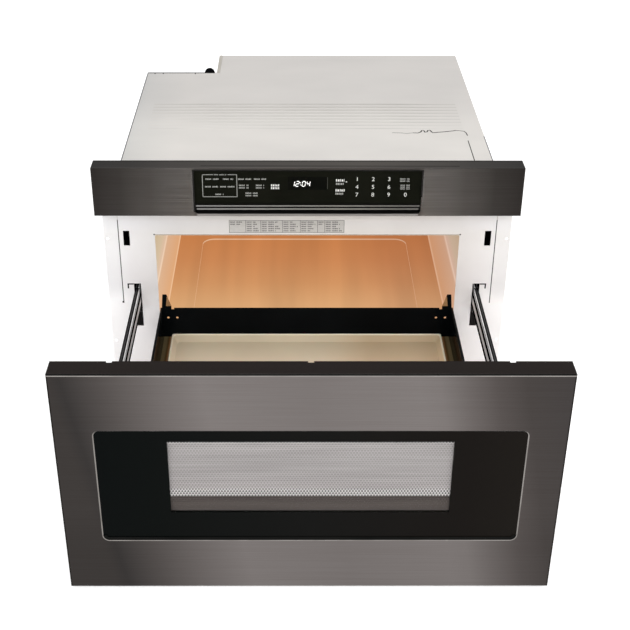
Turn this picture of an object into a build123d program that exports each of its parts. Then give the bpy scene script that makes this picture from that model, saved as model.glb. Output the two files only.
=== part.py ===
from build123d import *
import os
from math import atan, ceil, cos, pi, radians, sin, sqrt, tan

os.makedirs("parts", exist_ok=True)

# A microwave drawer for a base cabinet, with its drawer fully open.
# Millimetres. X runs to the right as seen from the front, Y into the cabinet, Z up.
# The origin is the centre of the cabinet's underside.

# ---------------------------------------------------------------- driving dimensions

# Case, with the space for the works behind the cavity
cabinet_width = 552
cabinet_height = 370
case_sheet = 1.0
case_lift = 0.5
corner_cut = 5
recess_width = 122
recess_depth = 92
works_depth = 140
pan_sheet = 1.2
pan_lip = 15

# Fronts
front_width = 606
front_depth = 28
skin_sheet = 1.0
drawer_front_height = 322
drawer_front_lift = 3
front_gap = 6
control_panel_height = 73

# Travel of the drawer, and what is left between its back and the face plate when shut
drawer_travel = 399.5
closed_gap = 0.5

# Face plate with its two side flanges
face_sheet = 1.5
face_plate_lift = 1
flange_width = 21
seam_width = 0.8
seam_inset = 0.5
seam_bottom = 172
flange_hole_radius = 2.5
flange_hole_inset = 5
flange_hole_low = 106
flange_hole_spacing = 174

# Oven cavity
cavity_width = 445
cavity_height = 188
cavity_depth = 420
cavity_floor = 98
cavity_corner = 2
cavity_sheet = 1.0
emboss_margin = 41.5
emboss_depth = 2
emboss_corner = 20
emboss_rear_margin = 61
emboss_front_margin = 40

# Key panel in the control panel
pocket_width = 320
pocket_height = 66.3
pocket_top_edge = 3
pocket_corner = 5
key_glass_sheet = 3
key_glass_recess = 2.6
ledge_drop = 52.2
ledge_height = 4.5
ledge_proud = 1.2
lower_bar_drop = 57.8
lower_bar_height = 3.2
lower_bar_recess = 1.5
frame_depth = 12
slot_wall = 2
display_width = 54
display_height = 20
display_drop = 24

# Window of the drawer front
window_width = 514
window_height = 165
window_bottom = 78
window_corner = 8
window_glass_sheet = 4
screen_width = 340
screen_height = 107
screen_bottom = 119.3
screen_edge = 12
screen_sheet = 0.6
screen_clearance = 0.3
pane_overlap = 6
pane_sheet = 3

# Frame, choke cover and latch hooks behind the drawer front's skin
inner_frame_sheet = 1.2
inner_frame_setback = 12
choke_width = 12
choke_lip = 8
top_trim_sheet = 2
trim_notch_width = 7
trim_notch_depth = 3
trim_notch_spacing = 234
latch_x = 264.2
latch_z = 281
latch_slot_width = 9.4
latch_slot_height = 24.6
latch_slot_corner = 1
hook_length = 38
hook_width = 5
hook_height = 14

# Basket behind the drawer front
basket_width = 440
basket_wall = 3.5
basket_bottom = 103
basket_top = 168
basket_depth = 391
rear_wall_sheet = 1.5
ear_height = 23
ear_foot = 14.5
ear_tip = 6
ear_lean = 2
ear_step = 3
rear_notch_width = 4
rear_notch_depth = 2.5
rear_hole_radius = 1.9
rear_hole_inset = 11
rear_hole_spacing = 13.6
rear_hole_drop = 16.7
floor_sheet = 1.2
floor_height = 106
ledge_top = 118
tray_side_ledge = 12.25
tray_clearance = 0.5
tray_height = 15.8
tray_floor = 5.8
tray_rim = 1.8
tray_slope = 6
tray_front_gap = 16

# Ball slides, one on each side of the cavity
slide_x = 250
slide_z = 175
slide_length = 420
slide_sheet = 1.2
slide_depth = 12
slide_half_height = 21.7
middle_inset = 1.2
middle_depth = 7
middle_half_height = 16.5
inner_half_height = 12
inner_depth = 5.6
cage_sheet = 0.7
cage_length = 160
cage_clearance = 0.2
ball_count = 9
ball_clearance = 0.06
ball_hole_clearance = 0.15
slide_slot_clearance = 2.1
slide_slot_width = 20.1
slide_slot_opening = 10.7
slide_slot_bottom = 131.5
slide_slot_top = 205.5
slide_slit = 1.6
slide_slit_drop = 8.5
bracket_sheet = 1.5
bracket_length = 150
bracket_foot = 22
bracket_screw_inset = 14.3

# Rack drive under the cavity
rack_x = 150
rack_width = 12
rack_height = 14
rack_pitch_z = 70
rack_rear_reach = 17
rack_clearance = 0.3
rack_slot_margin = 1.5
rack_foot_width = 26
rack_foot_sheet = 3
rack_module = 1.5
pinion_teeth = 20
drive_module = 1.0
drive_gear_teeth = 40
motor_pinion_teeth = 16
tooth_backlash = 0.3
pressure_angle = 20
tooth_root_share = 1.25
shaft_radius = 4
shaft_clearance = 0.05
shaft_end_gap = 1
shaft_y_from_face = 45
shaft_overhang = 8
drive_gear_x = 61
drive_gear_width = 8
bearing_offset = 25
bearing_width = 6
guide_wall = 3.7
guide_length = 40

# Microwave source above and behind the cavity
stirrer_opening_radius = 78
stirrer_radius = 68
stirrer_shaft_radius = 3
chamber_size = 176
guide_duct_width = 92
guide_duct_height = 40
magnetron_gap = 14
magnetron_width = 84
magnetron_depth = 92
magnetron_height = 80

# Cooling fan, its wheel turning about X
fan_x = 62
fan_z = 245
fan_opening_radius = 54
fan_wheel_radius = 50
fan_shaft_radius = 2

# Interlock plungers
plunger_radius = 2
plunger_travel = 3
plunger_gap = 0.4

# Cord gland on the recess panel
gland_z = 356
gland_from_corner = 15.5
gland_radius = 9
gland_length = 45
gland_bore_radius = 4

# ---------------------------------------------------------------- shared places

cabinet_depth = cavity_depth + works_depth
flange_span = cabinet_width + 2 * flange_width
face_y = -cabinet_depth / 2
rear_y = cabinet_depth / 2
side_x = cabinet_width / 2
behind_face_y = face_y + face_sheet
recess_x = -side_x + recess_width
recess_y = rear_y - recess_depth
panel_front_y = face_y - front_depth
panel_bottom = drawer_front_lift + drawer_front_height + front_gap
panel_top = panel_bottom + control_panel_height
drawer_back_y = face_y - closed_gap - drawer_travel
drawer_front_y = drawer_back_y - front_depth
drawer_top = drawer_front_lift + drawer_front_height
cavity_top = cavity_floor + cavity_height
cavity_rear_y = face_y + cavity_depth
stirrer_y = (face_y + cavity_rear_y) / 2
magnetron_y = cavity_rear_y + magnetron_gap + magnetron_depth / 2
inner_frame_y = drawer_back_y - inner_frame_setback
frame_back_y = inner_frame_y + inner_frame_sheet
basket_rear_y = drawer_back_y + basket_depth
tray_width = basket_width - 2 * (basket_wall + tray_side_ledge)
shaft_y = face_y + shaft_y_from_face
pinion_pitch_radius = rack_module * pinion_teeth / 2
shaft_z = rack_pitch_z - pinion_pitch_radius


def upright(y):
    """The upright plane at depth y, seen from the front: its x is X and its y is Z."""
    return Plane.XZ.offset(-y)


def sideways(x):
    """The upright plane at x, seen from the right: its x is Y and its y is Z."""
    return Plane.YZ.offset(x)


def block(x_span, y_span, z_span, mode=Mode.ADD):
    """A box between the low and high value of each axis."""
    centre = [(low + high) / 2 for low, high in (x_span, y_span, z_span)]
    sizes = [high - low for low, high in (x_span, y_span, z_span)]
    with Locations(tuple(centre)):
        Box(*sizes, mode=mode)


def with_mirror_image(part):
    """A right-hand piece together with its mirror image on the left."""
    with BuildPart() as pair:
        add(part)
        mirror(part, about=Plane.YZ)
    return pair.part


def mirror_image(part):
    """The left-hand copy of a right-hand piece."""
    with BuildPart() as left:
        mirror(part, about=Plane.YZ)
    return left.part


# ---------------------------------------------------------------- case

def plan_points(inset, front):
    """Corners of the cabinet's plan with its rear left recess, inset from the outer faces."""
    cut = corner_cut + inset * (sqrt(2) - 1)
    return [
        (-side_x + inset, front),
        (side_x - inset, front),
        (side_x - inset, rear_y - inset),
        (recess_x + inset, rear_y - inset),
        (recess_x + inset, recess_y - inset),
        (-side_x + cut, recess_y - inset),
        (-side_x + inset, recess_y - cut),
    ]


# The base pan is a sheet with its edges turned up, standing inside the case.
with BuildPart() as base_pan:
    with BuildSketch():
        with BuildLine():
            Polyline(*plan_points(case_sheet, behind_face_y), close=True)
        make_face()
    extrude(amount=pan_lip)
    with BuildSketch(Plane.XY.offset(pan_sheet)):
        with BuildLine():
            Polyline(*plan_points(case_sheet + pan_sheet, behind_face_y + pan_sheet), close=True)
        make_face()
    extrude(amount=pan_lip, mode=Mode.SUBTRACT)
base_pan.part.label = "base_pan"
export_step(base_pan.part, "parts/base_pan.step")

# Screws that hold the rear panel on the folds of its neighbours.
rear_fold = 16
rear_screw_radius = 1.9
rear_screw_clearance = 0.2
rear_screw_head_radius = 4
rear_screw_head = 2
rear_screw_reach = 6
rear_screw_inset = 9
rear_screw_points = [
    (x, z)
    for x in (recess_x + rear_screw_inset, side_x - rear_screw_inset)
    for z in (2 * pan_lip, cabinet_height / 2, cabinet_height - 2 * pan_lip)
]


def rear_screw_circles():
    """The clearance holes of the rear panel's screws, in an upright sketch."""
    with Locations(*rear_screw_points):
        Circle(rear_screw_radius + rear_screw_clearance)


side_z = (case_lift, cabinet_height - case_sheet)
fold_y = (rear_y - 2 * case_sheet, rear_y - case_sheet)

# The wrap covers the top and both sides; the recess shortens its left side.
with BuildPart() as outer_wrap:
    with BuildSketch(Plane.XY.offset(cabinet_height - case_sheet)):
        with BuildLine():
            Polyline(*plan_points(0, behind_face_y), close=True)
        make_face()
    extrude(amount=case_sheet)
    block((side_x - case_sheet, side_x), (behind_face_y, rear_y), side_z)
    block((-side_x, -side_x + case_sheet), (behind_face_y, recess_y - corner_cut), side_z)
    block(
        (side_x - rear_fold, side_x - case_sheet),
        fold_y,
        (pan_lip, cabinet_height - case_sheet),
    )
    with BuildSketch(upright(rear_y)):
        rear_screw_circles()
    extrude(amount=2 * case_sheet, mode=Mode.SUBTRACT)
outer_wrap.part.label = "outer_wrap"
export_step(outer_wrap.part, "parts/outer_wrap.step")

# Rear panel, closing the back between the recess and the right side, with air louvres.
louvre_length = 34
louvre_height = 4
louvre_pitch_x = 42
louvre_pitch_z = 12
louvre_columns = 3
upper_louvre_rows = 9
lower_louvre_rows = 5
lower_louvre_drop = 150
with BuildPart() as rear_panel:
    block((recess_x, side_x - case_sheet), (rear_y - case_sheet, rear_y), side_z)
    with BuildSketch(upright(rear_y)):
        for centre, rows in (
            ((fan_x + 2 * louvre_pitch_x, fan_z), upper_louvre_rows),
            ((recess_x + 3 * louvre_pitch_x, fan_z - lower_louvre_drop), lower_louvre_rows),
        ):
            with Locations(centre):
                with GridLocations(louvre_pitch_x, louvre_pitch_z, louvre_columns, rows):
                    SlotOverall(louvre_length, louvre_height)
        rear_screw_circles()
    extrude(amount=case_sheet, mode=Mode.SUBTRACT)
rear_panel.part.label = "rear_panel"
export_step(rear_panel.part, "parts/rear_panel.step")

# Pan-head screws of the rear panel.
with BuildPart() as rear_screws:
    for x, z in rear_screw_points:
        with Locations(Location((x, rear_y, z), (-90, 0, 0))):
            Cylinder(
                rear_screw_head_radius,
                rear_screw_head,
                align=(Align.CENTER, Align.CENTER, Align.MIN),
            )
            Cylinder(
                rear_screw_radius,
                rear_screw_reach,
                align=(Align.CENTER, Align.CENTER, Align.MAX),
            )
rear_screws.part.label = "rear_screws"
export_step(rear_screws.part, "parts/rear_screws.step")

# Recess panel: one folded sheet with a wall facing back and a wall facing left.
gland_x = recess_x - gland_from_corner
gland_neck_radius = 6.5
gland_fit = 0.1
recess_vent_radius = 2.5
recess_vent_pitch = 9
recess_vent_rows = 7
with BuildPart() as recess_panel:
    with BuildSketch(Plane.XY.offset(case_lift)):
        with BuildLine():
            Polyline(
                (-side_x, recess_y - corner_cut),
                (-side_x + corner_cut, recess_y),
                (recess_x, recess_y),
                (recess_x, rear_y - case_sheet),
                (recess_x + case_sheet, rear_y - case_sheet),
                (recess_x + case_sheet, recess_y - case_sheet),
                (-side_x + corner_cut + case_sheet * (sqrt(2) - 1), recess_y - case_sheet),
                (-side_x + case_sheet * sqrt(2), recess_y - corner_cut),
                close=True,
            )
        make_face()
    extrude(amount=cabinet_height - case_sheet - case_lift)
    block(
        (recess_x + case_sheet, recess_x + rear_fold),
        fold_y,
        (pan_lip, cabinet_height - case_sheet),
    )
    with BuildSketch(upright(rear_y)):
        rear_screw_circles()
    extrude(amount=2 * case_sheet, mode=Mode.SUBTRACT)
    with BuildSketch(sideways(recess_x)):
        with Locations((magnetron_y, fan_z)):
            with GridLocations(
                recess_vent_pitch,
                recess_vent_pitch,
                recess_vent_rows,
                recess_vent_rows,
            ):
                Circle(recess_vent_radius)
    extrude(amount=case_sheet, mode=Mode.SUBTRACT)
    with BuildSketch(upright(recess_y - case_sheet)):
        with Locations((gland_x, gland_z)):
            Circle(gland_neck_radius + gland_fit)
    extrude(amount=-case_sheet, mode=Mode.SUBTRACT)
recess_panel.part.label = "recess_panel"
export_step(recess_panel.part, "parts/recess_panel.step")

# Cord gland: a flange and a long black sleeve behind the recess panel, a neck through it and
# a nut inside.
gland_flange_radius = 11
gland_flange_depth = 3
gland_straight_length = 36
gland_dome_reach = 41.5
gland_dome_radius = 8.2
gland_mouth_radius = 6
gland_nut_radius = 10
gland_nut_depth = 5
gland_inner_y = -case_sheet - gland_nut_depth
gland_centre = (gland_x, recess_y, gland_z)
with BuildPart() as cord_gland:
    with BuildSketch(Plane(gland_centre, x_dir=(0, 1, 0), z_dir=(1, 0, 0))):
        with BuildLine():
            Polyline(
                (gland_inner_y, gland_bore_radius),
                (gland_inner_y, gland_nut_radius),
                (-case_sheet, gland_nut_radius),
                (-case_sheet, gland_neck_radius),
                (0, gland_neck_radius),
                (0, gland_flange_radius),
                (gland_flange_depth, gland_flange_radius),
                (gland_flange_depth, gland_radius),
                (gland_straight_length, gland_radius),
            )
            ThreePointArc(
                (gland_straight_length, gland_radius),
                (gland_dome_reach, gland_dome_radius),
                (gland_length, gland_mouth_radius),
            )
            Polyline(
                (gland_length, gland_mouth_radius),
                (gland_length, gland_bore_radius),
                (gland_inner_y, gland_bore_radius),
            )
        make_face()
    revolve(axis=Axis(gland_centre, (0, 1, 0)))
cord_gland.part.label = "cord_gland"
export_step(cord_gland.part, "parts/cord_gland.step")

# ---------------------------------------------------------------- face plate

rack_tip_z = rack_pitch_z - rack_module
rack_top = rack_tip_z + rack_height
flange_hole_x = flange_span / 2 - flange_hole_inset


def slide_slot_points(side):
    """Outline of a slide's slot, with the slit that runs round the tongue beside it."""
    inner = slide_x - slide_slot_clearance
    outer = inner + slide_slot_width
    slit_low = slide_slot_top - slide_slit
    outline = (
        (inner, slide_slot_bottom),
        (inner + slide_slot_opening, slide_slot_bottom),
        (inner + slide_slot_opening, slit_low),
        (outer - slide_slit, slit_low),
        (outer - slide_slit, slide_slot_top - slide_slit_drop),
        (outer, slide_slot_top - slide_slit_drop),
        (outer, slide_slot_top),
        (inner, slide_slot_top),
    )
    return [(side * x, z) for x, z in outline]


# One painted sheet: the cavity's mouth, slots for hooks, slides and racks, and side flanges
# that a slit parts from the plate in the upper half.
with BuildPart() as face_plate:
    block(
        (-flange_span / 2, flange_span / 2),
        (face_y, behind_face_y),
        (face_plate_lift, cabinet_height),
    )
    with BuildSketch(upright(face_y)):
        with Locations((0, cavity_floor + cavity_height / 2)):
            RectangleRounded(cavity_width, cavity_height, cavity_corner)
        for side in (-1, 1):
            with Locations((side * latch_x, latch_z)):
                RectangleRounded(latch_slot_width, latch_slot_height, latch_slot_corner)
            with Locations((side * rack_x, (rack_top + rack_tip_z) / 2)):
                Rectangle(rack_width + 2 * rack_slot_margin, rack_height + 2 * rack_slot_margin)
            with Locations((side * (side_x - seam_inset), (seam_bottom + cabinet_height) / 2)):
                Rectangle(seam_width, cabinet_height - seam_bottom)
            with BuildLine():
                Polyline(*slide_slot_points(side), close=True)
            make_face()
            with Locations((side * flange_hole_x, flange_hole_low + flange_hole_spacing / 2)):
                with GridLocations(1, flange_hole_spacing, 1, 2):
                    Circle(flange_hole_radius)
    extrude(amount=-face_sheet, mode=Mode.SUBTRACT)
face_plate.part.label = "face_plate"
export_step(face_plate.part, "parts/face_plate.step")

# Setting chart: a thin printed label on the face plate, over the cavity's mouth.
chart_left = -113.7
chart_width = 167.5
chart_height = 20.2
chart_rise = 4.3
chart_sheet = 0.2
with BuildPart() as setting_chart:
    block(
        (chart_left, chart_left + chart_width),
        (face_y - chart_sheet, face_y),
        (cavity_top + chart_rise, cavity_top + chart_rise + chart_height),
    )
setting_chart.part.label = "setting_chart"
export_step(setting_chart.part, "parts/setting_chart.step")

# ---------------------------------------------------------------- control panel

pocket_top = panel_top - pocket_top_edge
pocket_bottom = pocket_top - pocket_height

# Brushed skin: a pan open to the back, with the pocket for the keys.
with BuildPart() as control_panel_skin:
    block(
        (-front_width / 2, front_width / 2),
        (panel_front_y, face_y),
        (panel_bottom, panel_top),
    )
    block(
        (-front_width / 2 + skin_sheet, front_width / 2 - skin_sheet),
        (panel_front_y + skin_sheet, face_y),
        (panel_bottom + skin_sheet, panel_top - skin_sheet),
        Mode.SUBTRACT,
    )
    with BuildSketch(upright(panel_front_y)):
        with Locations((0, (pocket_top + pocket_bottom) / 2)):
            Rectangle(pocket_width, pocket_height)
        fillet(vertices().group_by(Axis.Y)[0], pocket_corner)
    extrude(amount=-skin_sheet, mode=Mode.SUBTRACT)
control_panel_skin.part.label = "control_panel_skin"
export_step(control_panel_skin.part, "parts/control_panel_skin.step")

# Back plate of the control panel, lying on the face plate.
panel_back_margin = 1.2
with BuildPart() as control_panel_back:
    block(
        (
            -front_width / 2 + skin_sheet + panel_back_margin,
            front_width / 2 - skin_sheet - panel_back_margin,
        ),
        (face_y - case_sheet, face_y),
        (
            panel_bottom + skin_sheet + panel_back_margin,
            panel_top - skin_sheet - panel_back_margin,
        ),
    )
control_panel_back.part.label = "control_panel_back"
export_step(control_panel_back.part, "parts/control_panel_back.step")

# Key frame: black plastic, with a seat for the glass, a ledge, a lower bar and a dark slot.
key_fit = 0.3
glass_front_y = panel_front_y + key_glass_recess
glass_back_y = glass_front_y + key_glass_sheet
ledge_top_z = pocket_top - ledge_drop
ledge_bottom_z = ledge_top_z - ledge_height
lower_bar_top_z = pocket_top - lower_bar_drop
lower_bar_bottom_z = lower_bar_top_z - lower_bar_height
slot_back_y = panel_front_y + frame_depth - slot_wall
with BuildPart() as key_frame:
    with BuildSketch(sideways(-pocket_width / 2 + key_fit)):
        with BuildLine():
            Polyline(
                (glass_back_y, pocket_top - key_fit),
                (glass_back_y, ledge_top_z),
                (panel_front_y - ledge_proud, ledge_top_z),
                (panel_front_y - ledge_proud, ledge_bottom_z),
                (panel_front_y + key_glass_recess, ledge_bottom_z),
                (panel_front_y + key_glass_recess, lower_bar_top_z),
                (panel_front_y + lower_bar_recess, lower_bar_top_z),
                (panel_front_y + lower_bar_recess, lower_bar_bottom_z),
                (slot_back_y, lower_bar_bottom_z),
                (slot_back_y, pocket_bottom),
                (panel_front_y + skin_sheet, pocket_bottom),
                (panel_front_y + skin_sheet, panel_bottom + skin_sheet),
                (panel_front_y + frame_depth, panel_bottom + skin_sheet),
                (panel_front_y + frame_depth, pocket_top - key_fit),
                close=True,
            )
        make_face()
    extrude(amount=pocket_width - 2 * key_fit)
key_frame.part.label = "key_frame"
export_step(key_frame.part, "parts/key_frame.step")

# Touch glass with the printed keys.
with BuildPart() as key_glass:
    block(
        (-pocket_width / 2 + key_fit, pocket_width / 2 - key_fit),
        (glass_front_y, glass_back_y),
        (ledge_top_z, pocket_top - key_fit),
    )
key_glass.part.label = "key_glass"
export_step(key_glass.part, "parts/key_glass.step")

# Display module behind the key frame, and the control board that carries it.
display_depth = 7
board_sheet = 1.6
board_y = panel_front_y + frame_depth + display_depth
display_z = pocket_top - display_drop
with BuildPart() as display_module:
    block(
        (-display_width / 2, display_width / 2),
        (panel_front_y + frame_depth, board_y),
        (display_z - display_height / 2, display_z + display_height / 2),
    )
display_module.part.label = "display_module"
export_step(display_module.part, "parts/display_module.step")

board_margin = 10
relay_size = 14
relay_height = 6
relay_pitch = 35
relay_edge = 4
relay_low = panel_bottom + board_margin + relay_edge
with BuildPart() as control_board:
    block(
        (-pocket_width / 2 + board_margin, pocket_width / 2 - board_margin),
        (board_y, board_y + board_sheet),
        (panel_bottom + board_margin, panel_top - board_margin),
    )
    for step in (-3, -2, 2, 3):
        relay_x = step * relay_pitch
        block(
            (relay_x - relay_size / 2, relay_x + relay_size / 2),
            (board_y + board_sheet, board_y + board_sheet + relay_height),
            (relay_low, relay_low + relay_size),
        )
control_board.part.label = "control_board"
export_step(control_board.part, "parts/control_board.step")

# ---------------------------------------------------------------- oven cavity

lamp_from_rear = 60
lamp_drop = 39
lamp_hole_radius = 1.6
lamp_hole_pitch = 6
lamp_hole_columns = 6
lamp_hole_rows = 4
lamp_y = cavity_rear_y - lamp_from_rear
lamp_z = cavity_top - lamp_drop
cavity_middle_z = cavity_floor + cavity_height / 2
guide_bottom = cavity_top + cavity_sheet
emboss_y = (face_y + emboss_front_margin + cavity_rear_y - emboss_rear_margin) / 2
emboss_length = cavity_depth - emboss_front_margin - emboss_rear_margin

# Cavity: a box open to the front, with a shallow rounded field pressed down in its floor,
# perforated in front of the lamp and open at the top below the stirrer.
with BuildPart() as oven_cavity:
    with BuildSketch(upright(behind_face_y)):
        with Locations((0, cavity_middle_z)):
            RectangleRounded(
                cavity_width + 2 * cavity_sheet,
                cavity_height + 2 * cavity_sheet,
                cavity_corner + cavity_sheet,
            )
    extrude(amount=-(cavity_depth - face_sheet + cavity_sheet))
    with BuildSketch(upright(behind_face_y)):
        with Locations((0, cavity_middle_z)):
            RectangleRounded(cavity_width, cavity_height, cavity_corner)
    extrude(amount=-(cavity_depth - face_sheet), mode=Mode.SUBTRACT)
    for low, sheet, mode in (
        (cavity_floor - cavity_sheet, cavity_sheet, Mode.ADD),
        (cavity_floor, 0, Mode.SUBTRACT),
    ):
        with BuildSketch(Plane.XY.offset(low)):
            with Locations((0, emboss_y)):
                RectangleRounded(
                    cavity_width - 2 * emboss_margin + 2 * sheet,
                    emboss_length + 2 * sheet,
                    emboss_corner + sheet,
                )
        extrude(amount=-emboss_depth, mode=mode)
    with BuildSketch(sideways(cavity_width / 2)):
        with Locations((lamp_y, lamp_z)):
            with GridLocations(
                lamp_hole_pitch,
                lamp_hole_pitch,
                lamp_hole_columns,
                lamp_hole_rows,
            ):
                Circle(lamp_hole_radius)
    extrude(amount=2 * cavity_sheet, mode=Mode.SUBTRACT)
    with BuildSketch(Plane.XY.offset(cavity_top)):
        with Locations((0, stirrer_y)):
            Circle(stirrer_opening_radius)
    extrude(amount=cavity_sheet, mode=Mode.SUBTRACT)
oven_cavity.part.label = "oven_cavity"
export_step(oven_cavity.part, "parts/oven_cavity.step")

# Stirrer cover: a thin plate under the ceiling's opening.
stirrer_cover_sheet = 1.5
stirrer_cover_margin = 12
with BuildPart() as stirrer_cover:
    with BuildSketch(Plane.XY.offset(cavity_top - stirrer_cover_sheet)):
        with Locations((0, stirrer_y)):
            RectangleRounded(
                2 * (stirrer_opening_radius + stirrer_cover_margin),
                2 * (stirrer_opening_radius + stirrer_cover_margin),
                stirrer_cover_margin,
            )
    extrude(amount=stirrer_cover_sheet)
stirrer_cover.part.label = "stirrer_cover"
export_step(stirrer_cover.part, "parts/stirrer_cover.step")

# ---------------------------------------------------------------- microwave source

guide_sheet = 1.0
antenna_hole_radius = 13
stirrer_hole_clearance = 1
stirrer_hole_radius = stirrer_shaft_radius + stirrer_hole_clearance
guide_top = guide_bottom + guide_duct_height
duct_rear_y = magnetron_y + magnetron_depth / 2

# Waveguide: the stirrer's chamber with a duct that runs back over the cavity.
with BuildPart() as waveguide:
    for inset, low, high, mode in (
        (0, guide_bottom, guide_top, Mode.ADD),
        (guide_sheet, guide_bottom + guide_sheet, guide_top - guide_sheet, Mode.SUBTRACT),
    ):
        with BuildSketch(Plane.XY.offset(low)):
            with Locations((0, stirrer_y)):
                Rectangle(chamber_size - 2 * inset, chamber_size - 2 * inset)
            with Locations((0, (stirrer_y + duct_rear_y) / 2)):
                Rectangle(guide_duct_width - 2 * inset, duct_rear_y - stirrer_y - 2 * inset)
        extrude(amount=high - low, mode=mode)
    with BuildSketch(Plane.XY.offset(guide_bottom)):
        with Locations((0, stirrer_y)):
            Circle(stirrer_opening_radius)
        with Locations((0, magnetron_y)):
            Circle(antenna_hole_radius)
    extrude(amount=guide_sheet, mode=Mode.SUBTRACT)
    with BuildSketch(Plane.XY.offset(guide_top - guide_sheet)):
        with Locations((0, stirrer_y)):
            Circle(stirrer_hole_radius)
    extrude(amount=guide_sheet, mode=Mode.SUBTRACT)
waveguide.part.label = "waveguide"
export_step(waveguide.part, "parts/waveguide.step")

# Stirrer: a shaft with four bent blades that spread the microwaves.
stirrer_motor_radius = 24
stirrer_motor_height = 22
stirrer_shaft_reach = 12
stirrer_strap_length = 62.4
stirrer_strap_width = 14.4
stirrer_strap_sheet = 2
stirrer_rise = 10
blade_count = 4
blade_thickness = 1.2
blade_width = 34
blade_pitch = 12
blade_overlap = 2
hub_radius = 9
hub_height = 10
stirrer_floor = guide_bottom + stirrer_rise
with BuildPart() as stirrer:
    with Locations((0, stirrer_y, stirrer_floor)):
        Cylinder(
            stirrer_shaft_radius,
            guide_top + stirrer_shaft_reach - stirrer_floor,
            align=(Align.CENTER, Align.CENTER, Align.MIN),
        )
        Cylinder(hub_radius, hub_height, align=(Align.CENTER, Align.CENTER, Align.MIN))
    with Locations((0, stirrer_y, stirrer_floor + hub_height / 2)):
        with PolarLocations((hub_radius + stirrer_radius) / 2 - blade_overlap, blade_count):
            Box(
                stirrer_radius - hub_radius,
                blade_width,
                blade_thickness,
                rotation=(blade_pitch, 0, 0),
            )
stirrer.part.label = "stirrer"
export_step(stirrer.part, "parts/stirrer.step")

# Stirrer motor: a flat round motor on the chamber, bored for the stirrer's shaft.
with BuildPart() as stirrer_motor:
    with Locations((0, stirrer_y, guide_top)):
        Cylinder(
            stirrer_motor_radius,
            stirrer_motor_height,
            align=(Align.CENTER, Align.CENTER, Align.MIN),
        )
        Box(
            stirrer_strap_length,
            stirrer_strap_width,
            stirrer_strap_sheet,
            align=(Align.CENTER, Align.CENTER, Align.MIN),
        )
        Cylinder(
            stirrer_shaft_radius + shaft_clearance,
            stirrer_shaft_reach + shaft_end_gap,
            align=(Align.CENTER, Align.CENTER, Align.MIN),
            mode=Mode.SUBTRACT,
        )
stirrer_motor.part.label = "stirrer_motor"
export_step(stirrer_motor.part, "parts/stirrer_motor.step")

# Magnetron: yoke open along X, finned anode with its antenna, and the filter box below.
yoke_sheet = 1.5
anode_radius = 19
antenna_radius = 8
antenna_reach = 24
fin_count = 6
fin_sheet = 0.8
fin_inset = 2
filter_box_height = 34
filter_box_share = 0.66
yoke_low = guide_bottom - magnetron_height
with BuildPart() as magnetron:
    half_width = magnetron_width / 2
    half_depth = magnetron_depth / 2
    block(
        (-half_width, half_width),
        (magnetron_y - half_depth, magnetron_y + half_depth),
        (yoke_low, guide_bottom),
    )
    block(
        (-half_width, half_width),
        (magnetron_y - half_depth + yoke_sheet, magnetron_y + half_depth - yoke_sheet),
        (yoke_low + yoke_sheet, guide_bottom - yoke_sheet),
        Mode.SUBTRACT,
    )
    with Locations((0, magnetron_y, yoke_low)):
        Cylinder(
            anode_radius,
            magnetron_height,
            align=(Align.CENTER, Align.CENTER, Align.MIN),
        )
    with Locations((0, magnetron_y, guide_bottom)):
        Cylinder(
            antenna_radius,
            antenna_reach,
            align=(Align.CENTER, Align.CENTER, Align.MIN),
        )
    fin_step = (magnetron_height - 2 * yoke_sheet) / (fin_count + 1)
    for fin in range(1, fin_count + 1):
        fin_z = yoke_low + yoke_sheet + fin * fin_step
        block(
            (-half_width + fin_inset, half_width - fin_inset),
            (magnetron_y - half_depth + yoke_sheet, magnetron_y + half_depth - yoke_sheet),
            (fin_z - fin_sheet / 2, fin_z + fin_sheet / 2),
        )
    block(
        (-filter_box_share * half_width, filter_box_share * half_width),
        (magnetron_y - filter_box_share * half_depth, magnetron_y + filter_box_share * half_depth),
        (yoke_low - filter_box_height, yoke_low),
    )
magnetron.part.label = "magnetron"
export_step(magnetron.part, "parts/magnetron.step")

# High voltage transformer on the base pan: laminated core with two windings round its waist.
core_width = 95
core_depth = 62
core_height = 78
core_x = -88
core_window_width = 16
core_window_height = 44
coil_gap = 0.3
coil_overhang = 10
core_from_rear = 82
core_y = rear_y - core_from_rear
core_middle_z = pan_sheet + core_height / 2
leg_offset = core_width / 4
with BuildPart() as transformer_core:
    with Locations((core_x, core_y, core_middle_z)):
        Box(core_width, core_depth, core_height)
        with GridLocations(2 * leg_offset, 1, 2, 1):
            Box(core_window_width, core_depth, core_window_height, mode=Mode.SUBTRACT)
transformer_core.part.label = "transformer_core"
export_step(transformer_core.part, "parts/transformer_core.step")

centre_leg = 2 * leg_offset - core_window_width
coil_width = centre_leg + 2 * core_window_width
coil_height = core_window_height / 2 - 2 * coil_gap
with BuildPart() as transformer_coils:
    with Locations(
        (core_x, core_y, core_middle_z - core_window_height / 4),
        (core_x, core_y, core_middle_z + core_window_height / 4),
    ):
        Box(coil_width - 2 * coil_gap, core_depth + 2 * coil_overhang, coil_height)
        Box(
            centre_leg + 2 * coil_gap,
            core_depth + 2 * coil_gap,
            coil_height,
            mode=Mode.SUBTRACT,
        )
transformer_coils.part.label = "transformer_coils"
export_step(transformer_coils.part, "parts/transformer_coils.step")

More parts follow.
